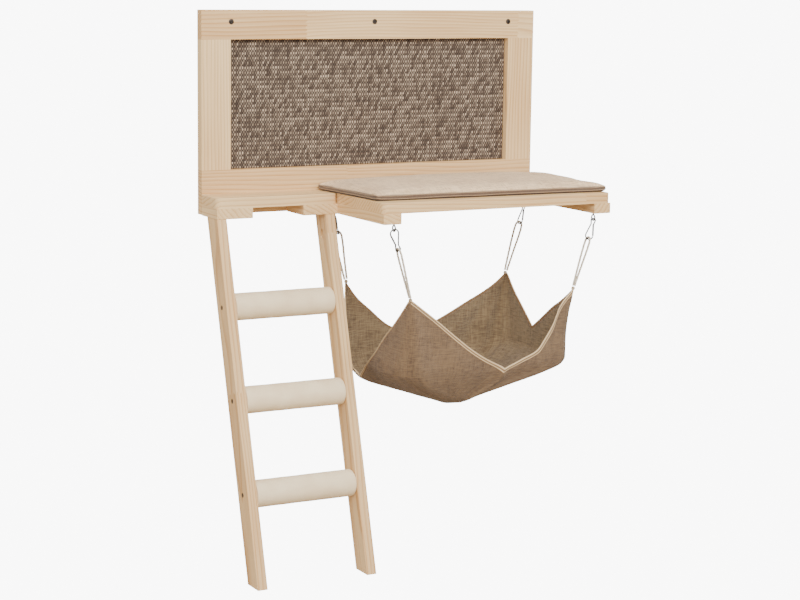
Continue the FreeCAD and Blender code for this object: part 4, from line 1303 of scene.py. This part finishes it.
@dataclass
class Hammock:
    """Bag of cloth on four corners, its four hems and the knots.

    The outline at a level is a four-cornered shape with rounded corners whose sides belly out. Lengths are
    millimetres and a level is a drop from the corners' height, but the tables of insets and roundings are
    percent of the bag's width or depth. Every column of the cloth starts on a hem.
    """

    left: float = -42.6
    right: float = 289.8
    front: float = -241.0
    back: float = -11.0
    top: float = -462.8
    belly: float = 3.0
    thickness: float = 1.5
    rows: int = 84
    # Columns and width of the hem's tape, by side.
    columns: tuple = (110, 80, 110, 80)
    hem_width: tuple = (6.4, 4.4, 3.2, 3.0)
    # Keel of the front: how far it stands out, and its share of the side at each level.
    keel_height: float = 6.5
    keel_levels: tuple = (125, 131, 147, 165, 185, 199)
    keel_shares: tuple = (0.6, 0.6, 0.66, 0.74, 0.88, 1.0)
    # Knot: turns of the cord, radius of the winding, its height and the cord's radius.
    knot_turns: float = 3.4
    knot_swell: float = 2.1 * MM
    knot_height: float = 4.4 * MM
    knot_cord: float = 1.15 * MM
    levels: tuple = (-6, 0, 39.5, 85.3, 122.2, 133.0, 147.0, 164.6, 184.8, 194.6, 199.0)
    # Insets of the corners front left, front right, back right and back left: along X, along Y, rounding.
    inset_x: tuple = (
        (-0.8, -0.8, -1.2, -2.1, -3.0, -2.7, 1.2, 10.2, 24, 29.5, 33),
        (1.2, 1.2, 3.4, 4.4, 4.6, 6.4, 17.1, 37, 58, 60.9, 60.8),
        (0.3, 0.3, 0.8, 1.4, 2.1, 3.6, 9.0, 18.3, 39, 49.6, 51.7),
        (-2.4, -2.4, -3.2, -3.8, -4.0, -3.8, -3.2, -1.4, 15.5, 26.5, 33.7),
    )
    inset_y: tuple = (
        (-1.1, -1.1, -1.3, -1.3, 0, 1.3, 3.9, 8.3, 14.3, 21.7, 28.7),
        (-1.1, -1.1, -1.1, -0.9, 0, 1.3, 3.5, 6.5, 10.4, 18.3, 27),
        (-1.1, -1.1, 0, 1.3, 1.7, 3.0, 6.5, 14, 34.8, 45.7, 53),
        (-1.1, -1.1, 0, 1.3, 1.7, 3.0, 7.0, 14.8, 31.3, 42.6, 48.7),
    )
    rounding: tuple = (
        (2.6, 2.6, 6, 12, 18, 20, 20, 18, 9.5, 3.5, 1.8),
        (2.6, 2.6, 4, 5, 4.5, 4.5, 4.5, 4.5, 3.5, 2.6, 1.8),
        (2.6, 2.6, 6, 10.5, 15, 16.5, 19.5, 22, 14, 7, 2.6),
        (2.6, 2.6, 3, 4, 4.5, 5, 6, 9, 12, 7, 2.6),
    )
    # Hems: place along the wall or out from it, and level. The lowest row is the point of the hem.
    hems: dict = field(default_factory=lambda: {
        Side.FRONT: ((-42.6, -3), (-21.3, 14.9), (4.8, 35.1), (44.7, 67.7), (78.4, 93.6), (112.4, 114.4),
                     (146, 131.2), (179.7, 117.7), (210.1, 104.8), (226.8, 84.4), (243.5, 59),
                     (259.8, 24.5), (285.8, -3)),
        Side.RIGHT: ((-241, -3), (-206.5, 26.2), (-182.8, 40.3), (-145.1, 66), (-112, 87.6),
                     (-70.3, 54.5), (-40, 31.1), (-11, 1)),
        Side.BACK: ((289, 1), (262.1, 21.3), (234.1, 36.7), (198.6, 53.2), (163.6, 70.3), (137.5, 82.1),
                    (88, 103), (42.2, 86), (25.2, 75.1), (1.1, 53.7), (-26.3, 29.1), (-50.6, -3)),
        Side.LEFT: ((-11, -3), (-20, 45), (-29, 95), (-38, 124), (-50, 146), (-66, 160), (-101.4, 136.9),
                    (-138.2, 106.9), (-162, 79.3), (-197.8, 44.3), (-241, -3)),
    })

    def hem_level(self, side: Side, share: Array) -> Array:
        """Level of a hem at shares of its run; each arm is a monotone cubic, so the low point stays sharp.

        Args:
            side: Side of the bag.
            share: Shares of the side's run, from 0 to 1.

        Returns:
            One level for each share.
        """
        table = np.array(self.hems[side], float)
        axis = 0 if side in (Side.FRONT, Side.BACK) else 1
        start = self.corner(side.value, table[:, 1])[0][:, axis]
        end = self.corner((side.value + 1) % 4, table[:, 1])[0][:, axis]
        place = (table[:, 0] - start) / (end - start)
        place[0], place[-1] = 0.0, 1.0
        low = int(np.argmax(table[:, 1]))
        first = smooth_table(share, place[:low + 1], table[:low + 1, 1])
        second = smooth_table(share, place[low:], table[low:, 1])
        return np.where(share <= place[low], first, second)

    def corner(self, number: int, level: Array) -> tuple[Array, Array]:
        """Place (x, y) of one corner of the outline at a level, and how far its rounding reaches.

        Args:
            number: Corner, counted from the front left one to the right and round the bag.
            level: Levels in millimetres.

        Returns:
            Places with X and Y on the last axis, and one reach for each level.
        """
        wide, deep = (self.right - self.left) / 100, (self.back - self.front) / 100
        across = smooth_table(level, self.levels, self.inset_x[number]) * wide
        inward = smooth_table(level, self.levels, self.inset_y[number]) * deep
        x = self.left + across if number in (0, 3) else self.right - across
        y = self.front + inward if number in (0, 1) else self.back - inward
        return np.stack([x, y], axis=-1), smooth_table(level, self.levels, self.rounding[number]) * deep

    def base(self, side: Side, share: Array, level: Array) -> Array:
        """Points of the bag before its folds: its rounded outline at each level, with sides that belly out.

        Args:
            side: Side of the bag.
            share: Shares of the side's run.
            level: Levels in millimetres, of the same shape.

        Returns:
            Places in millimetres on the last axis.
        """
        number = side.value
        ends = [self.corner(index % 4, level) for index in range(number - 1, number + 3)]
        corners, reaches = zip(*ends)
        place, run, length = rounded_side(corners, reaches[1:3], share)
        bow = self.belly * smooth_step(0, 125, level) * (1 - 0.8 * smooth_step(160, 199, level))
        bow = bow * 4 * share * (1 - share)
        outward = np.stack([run[..., 1], -run[..., 0]], axis=-1) / length[..., None]
        place = place + outward * bow[..., None]
        return np.concatenate([place, (self.top - level)[..., None]], axis=-1)

    def normal(self, side: Side, share: Array, level: Array) -> Array:
        """Outward unit normals from differences of the base over a small step.

        Args:
            side: Side of the bag.
            share: Shares of the side's run.
            level: Levels in millimetres, of the same shape.

        Returns:
            Unit vectors on the last axis.
        """
        step, fall = 0.004, 0.8
        low, high = np.clip(share - step, 0, 1), np.clip(share + step, 0, 1)
        along = self.base(side, high, level) - self.base(side, low, level)
        down = self.base(side, share, level + fall) - self.base(side, share, level - fall)
        return unit(np.cross(down, along))

    def folds(self, side: Side, share: Array, level: Array) -> Array:
        """How far the cloth stands out from the base.

        Upright folds on the back, a keel below the low point of the front hem, and slow waves elsewhere,
        all from nothing at the hem.

        Args:
            side: Side of the bag.
            share: Shares of the side's run.
            level: Levels in millimetres, of the same shape.

        Returns:
            Distances in millimetres, outwards.
        """
        below = level - self.hem_level(side, share)
        fade = smooth_step(0, 50, below) * (1 - smooth_step(155, 199, level))
        waves = 0.9 * np.sin(9.0 * share + 0.03 * level + side.value * 1.7) * fade
        waves += 0.5 * np.sin(17.0 * share - 0.045 * level + side.value) * fade
        if side is Side.BACK:
            waves += 2.4 * np.sin(3 * math.pi * share) * fade
            creases = np.sin(2 * math.pi * share / (0.06 + 0.0011 * level))
            waves += 3.0 * creases * np.exp(-((share / 0.42) ** 2)) * fade
        if side in (Side.FRONT, Side.RIGHT):
            creases = np.sin(2 * math.pi * share / (0.11 + 0.0014 * level))
            waves += 1.5 * creases * np.exp(-((share / 0.5) ** 2)) * fade
        if side is Side.FRONT:
            keel = smooth_table(level, self.keel_levels, self.keel_shares)
            width = 0.03 + 0.06 * smooth_step(135, 190, level)
            rise = smooth_step(122, 140, level) * (1 - smooth_step(160, 195, level))
            waves += self.keel_height * np.exp(-np.abs(share - keel) / width) * rise
        return waves

    def surface(self, side: Side, share: Array, level: Array, proud: Union[Array, float] = 0.0) -> Array:
        """Points of the folded cloth in metres, or a distance outside it."""
        out = self.folds(side, share, level) + proud
        return (self.base(side, share, level) + self.normal(side, share, level) * out[..., None]) * MM

    def side_width(self, side: Side) -> float:
        """Length of a side at the mouth of the bag."""
        return self.right - self.left if side in (Side.FRONT, Side.BACK) else self.back - self.front

    def cloth(self) -> bpy.types.Object:
        """The bag: columns from the hems to the lowest outline, then rings that close it.

        Returns:
            The cloth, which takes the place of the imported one.
        """
        strips, uvs, run = [], [], 0.0
        sweep = np.linspace(0, 1, self.rows) ** 0.9
        for side in Side:
            share = np.linspace(0, 1, self.columns[side.value], endpoint=False)
            hem = self.hem_level(side, share)
            level = hem + (self.levels[-1] - hem) * sweep[:, None]
            shares = np.broadcast_to(share, level.shape)
            strips.append(self.surface(side, shares, level))
            width = self.side_width(side) * MM
            uvs.append(np.stack([run + shares * width, level * MM], axis=-1))
            run += width
        body, uv = np.concatenate(strips, axis=1), np.concatenate(uvs, axis=1)
        centre = body[-1].mean(axis=0)
        closing = np.linspace(0, 1, 9)[1:, None, None]
        rings = body[-1] + (centre - body[-1]) * closing
        rings[..., 2] = body[-1][:, 2] - 0.6 * MM * (1 - (1 - closing[..., 0]) ** 2)
        ring_uv = uv[-1] + np.array([0.0, 1.0]) * closing * 0.02
        uv = np.concatenate([uv, ring_uv])
        last = uv[:, :1] + np.array([run, 0.0])
        patch = Patch(np.concatenate([body, rings]), np.concatenate([uv, last], axis=1), wrap=True)
        cloth = patches_object("hammock_bag", [patch], closed=False)
        wall = cloth.modifiers.new("wall", "SOLIDIFY")
        wall.thickness, wall.offset, wall.material_offset = self.thickness * MM, 0.0, 1
        # Painted light: the inside of the bag takes a lighter copy of the cloth, for light coming through
        # the thin cloth; the outside takes the darker copy.
        lit = Cloth("taupe_cloth_inside_painted_light", "hammock_fabric", srgb(152, 128, 93), srgb(94, 72, 46))
        darker_finish = Cloth("taupe_cloth", "hammock_fabric", srgb(130, 103, 71), srgb(80, 57, 34))
        dress(cloth, lit).data.materials.append(darker_finish.build())
        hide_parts("hammock_cloth")
        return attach(cloth, "hammock")

    def hem(self, side: Side) -> bpy.types.Object:
        """Tape folded over one hem.

        A closed profile of depth below the edge and height above the cloth is carried along the hem. The
        depth is divided by the cosine of the hem's slope, up to twice, so the tape keeps its width.

        Args:
            side: Side whose hem it is.

        Returns:
            The tape.
        """
        share = np.linspace(0.004, 0.996, 240)
        level = self.hem_level(side, share)
        slope = np.gradient(level, share * self.side_width(side))
        stretch = np.minimum(np.sqrt(1 + slope ** 2), 2.0) * self.hem_width[side.value] / 8.0
        half = self.thickness / 2
        profile = np.array([
            (-0.9, 0.0), (-0.6, 0.7), (0.4, 1.0), (2.2, 1.0), (2.8, 0.55), (4.0, 0.6), (4.6, 1.0),
            (6.4, 1.0), (7.2, 0.7), (8.0, 0.05), (8.0, -0.05), (7.2, -0.7), (6.4, -1.0), (4.6, -1.0),
            (4.0, -0.6), (2.8, -0.55), (2.2, -1.0), (0.4, -1.0), (-0.6, -0.7),
        ])
        levels = level[:, None] + profile[:, 0] * stretch[:, None]
        proud = np.sign(profile[:, 1]) * half + profile[:, 1] * 0.6
        shares = np.broadcast_to(share[:, None], levels.shape)
        body = self.surface(side, shares, levels, np.broadcast_to(proud, levels.shape))
        ends = [np.repeat(body[end].mean(axis=0)[None, None], len(profile), axis=1) for end in (0, -1)]
        points = np.concatenate([ends[0], body, ends[1]])
        length = np.concatenate([share[:1], share, share[-1:]]) * self.side_width(side) * MM
        strip = np.where(profile[:, 1] >= 0, profile[:, 0] / 8.0, 0.45)
        strip = np.append(strip, strip[0])
        uv = np.stack(np.meshgrid(length, strip, indexing="ij"), axis=-1)
        hem = patches_object(f"hem_{side.name.lower()}", [Patch(points, uv, wrap=True)], closed=True)
        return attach(dress(hem, HemTape("hem_tape")), "hammock")

    def knot(self, hanger: Hanger) -> bpy.types.Object:
        """Cord wound round the drawn-up tip of one corner: a line of close turns that grows and shrinks.

        Args:
            hanger: Hanger that ends at the corner.

        Returns:
            The knot.
        """
        turns = np.linspace(0, 1, 150)
        angle = 2 * math.pi * self.knot_turns * turns
        swell = self.knot_swell * (0.75 + 0.35 * np.sin(math.pi * turns))
        rise = self.knot_height * (turns - 0.55)
        coil = np.stack([swell * np.cos(angle), swell * np.sin(angle), rise], axis=1)
        path = np.array(hanger.corner) + coil
        tube = round_tube(path, self.knot_cord, 12)
        knot = patches_object(f"knot_{hanger.name}", [tube], closed=True)
        tan = Fibre("knot_cotton", "cord", srgb(182, 160, 128), srgb(122, 100, 74), 4.0 * MM, 2.0, 0.0002)
        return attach(dress(knot, tan), "hammock")

    def build(self) -> None:
        """Make the cloth, the hems and the knots, and say what they are."""
        cloth = self.cloth()
        hems = [self.hem(side) for side in Side]
        knots = [self.knot(hanger) for hanger in HANGERS]
        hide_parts("hammock_binding")
        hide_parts("corner_knots")


# ------------------------------------------------------------------ seat pad
@dataclass
class SeatPad:
    """Thin boxed cushion: crowned top, drawn-in sides and a seam round its top and bottom."""

    corners: tuple = ((-0.1010, -0.2245), (0.3560, -0.2395), (0.3535, -0.0200), (-0.1150, -0.0200))
    base: float = -0.2927
    crown: float = 11.0 * MM
    tilt: float = 0.45
    pull: float = 1.6 * MM
    corner: float = 6.0 * MM
    voxel: float = 4.0 * MM
    pressure: float = 4.0
    frames: int = 20
    most_move: float = 3.5 * MM
    seam_radius: float = 0.6 * MM
    seam_heights: tuple = (("seat_seam_top", 9.8), ("seat_seam_bottom", 3.4))
    band_top: float = 10.4 * MM
    # Band of the pad: height and inset in millimetres, from the underside up.
    rows: tuple = ((0.0, 4.0), (1.0, 3.2), (2.0, 1.4), (2.8, 0.4), (4.2, 0.0), (6.2, 0.0), (8.2, 0.3),
                   (9.2, 0.6), (9.8, 1.2), (10.2, 2.4))

    def side_points(self, side: int, share: Array, inset: Array) -> Array:
        """Outline of one side at an inset, with rounded corners and a middle that is pulled in.

        Args:
            side: Side number, from the front one to the right.
            share: Shares of the side's run.
            inset: How far the outline is drawn in.

        Returns:
            (n, 2) places.
        """
        signs = np.array([(1, 1), (-1, 1), (-1, -1), (1, -1)])
        moved = np.array(self.corners) + signs * inset
        corners = [moved[index % 4] for index in range(side - 1, side + 3)]
        place, run, length = rounded_side(corners, (self.corner, self.corner), share)
        inward = np.array([-run[1], run[0]]) / length
        drawn = self.pull * np.sin(math.pi * share) ** 0.6 + 0.6 * MM * np.sin(share * length * 62.0)
        return place + inward * (drawn * np.sin(math.pi * share) ** 0.2)[:, None]

    def shares(self, side: int) -> Array:
        """Shares along a side, close together in its corners.

        Args:
            side: Side number.

        Returns:
            Rising shares from 0 to 1.
        """
        count = 121 if side % 2 == 0 else 61
        t = np.linspace(0, 1, count)
        return t - np.sin(2 * math.pi * t) / (2 * math.pi) * 0.55

    def ring(self, inset: float, height: float) -> Array:
        """Whole outline at a height."""
        flat = np.concatenate([self.side_points(side, self.shares(side)[:-1], inset) for side in range(4)])
        return np.concatenate([flat, np.full((len(flat), 1), self.base + height)], axis=1)

    def lid(self, inset: float, height: float, rise: float) -> Patch:
        """Coons patch over the outline, arched from nothing at its edge.

        At shares f and g of its width and depth it stands rise (1 - t/2 + tg) (4f(1-f) 4g(1-g))^0.42 up,
        where t is the tilt to the back.

        Args:
            inset: How far the outline is drawn in.
            height: Height of the outline over the pad's foot.
            rise: Height of the arch in its middle.

        Returns:
            The grid.
        """
        sides = [self.side_points(side, self.shares(side), inset) for side in range(4)]
        front, right, back, left = sides[0], sides[1], sides[2][::-1], sides[3][::-1]
        f, g = self.shares(0)[None, :, None], self.shares(1)[:, None, None]
        blend = (1 - g) * front[None] + g * back[None] + (1 - f) * left[:, None] + f * right[:, None]
        near = (1 - f) * (1 - g) * front[0] + f * (1 - g) * front[-1]
        plan = blend - (near + (1 - f) * g * back[0] + f * g * back[-1])
        slant = 1 - self.tilt / 2 + self.tilt * g[..., 0]
        arch = (4 * f * (1 - f) * 4 * g * (1 - g))[..., 0] ** 0.42 * slant
        dents = 0.5 * MM * np.sin(plan[..., 0] * 41.0 + 1.0) * np.sin(plan[..., 1] * 55.0) * arch
        z = self.base + height + (rise + dents * np.sign(rise)) * arch
        return Patch(np.concatenate([plan, z[..., None]], axis=-1), plan)

    def start_shape(self) -> bpy.types.Object:
        """Pad before it is filled: a band of rings, a lid and a floor.

        Returns:
            The pad's object.
        """
        rings = np.stack([self.ring(inset * MM, height * MM) for height, inset in self.rows])
        wall = Patch(rings, np.zeros((len(rings), rings.shape[1] + 1, 2)), wrap=True)
        lid = self.lid(self.rows[-1][1] * MM, self.rows[-1][0] * MM, self.crown)
        floor = self.lid(self.rows[0][1] * MM, 0.0, 0.0)
        return patches_object("seat_pad", [wall, lid, floor], closed=True)

    def fill(self, pad: bpy.types.Object) -> None:
        """Cloth simulation under pressure with the underside held, and every move held to the most given.

        Args:
            pad: The start shape, whose mesh is replaced by the filled one.
        """
        remesh = pad.modifiers.new("even_faces", "REMESH")
        remesh.mode, remesh.voxel_size = "VOXEL", self.voxel
        pad.data = evaluated_mesh(pad)
        pad.modifiers.clear()
        start = mesh_points(pad.data)
        resting = pad.vertex_groups.new(name="resting")
        resting.add(np.flatnonzero(start[:, 2] < self.base + 1.5 * MM).tolist(), 1.0, "ADD")
        cloth = pad.modifiers.new("filling", "CLOTH")
        cloth.settings.use_pressure = True
        cloth.settings.uniform_pressure_force = self.pressure
        cloth.settings.effector_weights.gravity = 0.0
        cloth.settings.vertex_group_mass = "resting"
        cloth.point_cache.frame_start, cloth.point_cache.frame_end = 1, self.frames
        for frame in range(1, self.frames + 1):
            bpy.context.scene.frame_set(frame)
        blown = evaluated_mesh(pad)
        moves = mesh_points(blown) - start
        reach = np.linalg.norm(moves, axis=1, keepdims=True)
        LOG.info("filling moved the cloth up to %.1f mm", reach.max() / MM)
        end = start + moves * np.minimum(1.0, self.most_move / np.maximum(reach, 1e-9))
        end[:, 2] = np.maximum(end[:, 2], self.base)
        pad.modifiers.clear()
        bpy.context.scene.frame_set(1)
        pad.data.vertices.foreach_set("co", end.reshape(-1))
        bpy.data.meshes.remove(blown)
        finer = pad.modifiers.new("finer", "SUBSURF")
        finer.levels = finer.render_levels = 1
        pad.data = evaluated_mesh(pad)
        pad.modifiers.clear()
        pad.vertex_groups.clear()
        pad.data.polygons.foreach_set("use_smooth", np.ones(len(pad.data.polygons), bool))
        box_uv(pad.data)

    def seam(self, pad: bpy.types.Object, name: str, height: float) -> bpy.types.Object:
        """Corded seam round the pad at a height, on the nearest places of the filled cloth.

        Args:
            pad: The filled pad.
            name: Name of the piece.
            height: Height over the pad's foot, in millimetres.

        Returns:
            The seam.
        """
        ring = self.ring(0.0, height * MM)
        line = bpy.data.meshes.new(name)
        line.from_pydata(ring.tolist(), [], [])
        holder = bpy.data.objects.new(name, line)
        bpy.context.scene.collection.objects.link(holder)
        wrap = holder.modifiers.new("onto_cloth", "SHRINKWRAP")
        wrap.target, wrap.wrap_method = pad, "NEAREST_SURFACEPOINT"
        drawn = evaluated_mesh(holder)
        path = mesh_points(drawn)
        bpy.data.objects.remove(holder)
        bpy.data.meshes.remove(drawn)
        kernel = np.hanning(9) / np.hanning(9).sum()
        looped = np.concatenate([path[-8:], path, path[:8]])
        path = np.stack([np.convolve(looped[:, axis], kernel, "same")[8:-8] for axis in range(3)], axis=1)
        path = np.concatenate([path, path[:1]])
        seam = patches_object(name, [round_tube(path, self.seam_radius, 8)], closed=True)
        pale, shade = srgb(176, 150, 120), srgb(124, 98, 72)
        thread = Fibre("seam_cord", "cushion_fabric", pale, shade, 2.2 * MM, 2.0, 0.0002)
        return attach(dress(seam, thread), "cushion")

    def build(self) -> None:
        """Make the pad and say what it is."""
        pad = self.start_shape()
        self.fill(pad)
        # The band round the pad is darkened as painted shade, with a painted shadow under it.
        beige = Cloth("beige_cloth", "cushion_fabric", srgb(255, 222, 176), srgb(196, 156, 112),
                      band_shade=0.95, band_top=self.base + self.band_top)
        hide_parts("cushion")
        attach(dress(pad, beige), "cushion")
        for name, height in self.seam_heights:
            self.seam(pad, name, height)


def main() -> None:
    """Build the camera, the studio and every sub-assembly in order."""
    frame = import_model()
    nodes = frame["nodes"]
    Photograph().build()
    Studio().build()
    for hanger in HANGERS:
        hanger.build()
    dress_hardware(nodes)
    ScratchPanel(nodes).build()
    Boards(nodes).build()
    Ladder(nodes).build()
    Hammock().build()
    SeatPad().build()
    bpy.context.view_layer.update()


if __name__ == "__main__":
    logging.basicConfig(level=logging.INFO, format="%(name)s %(message)s")
    main()
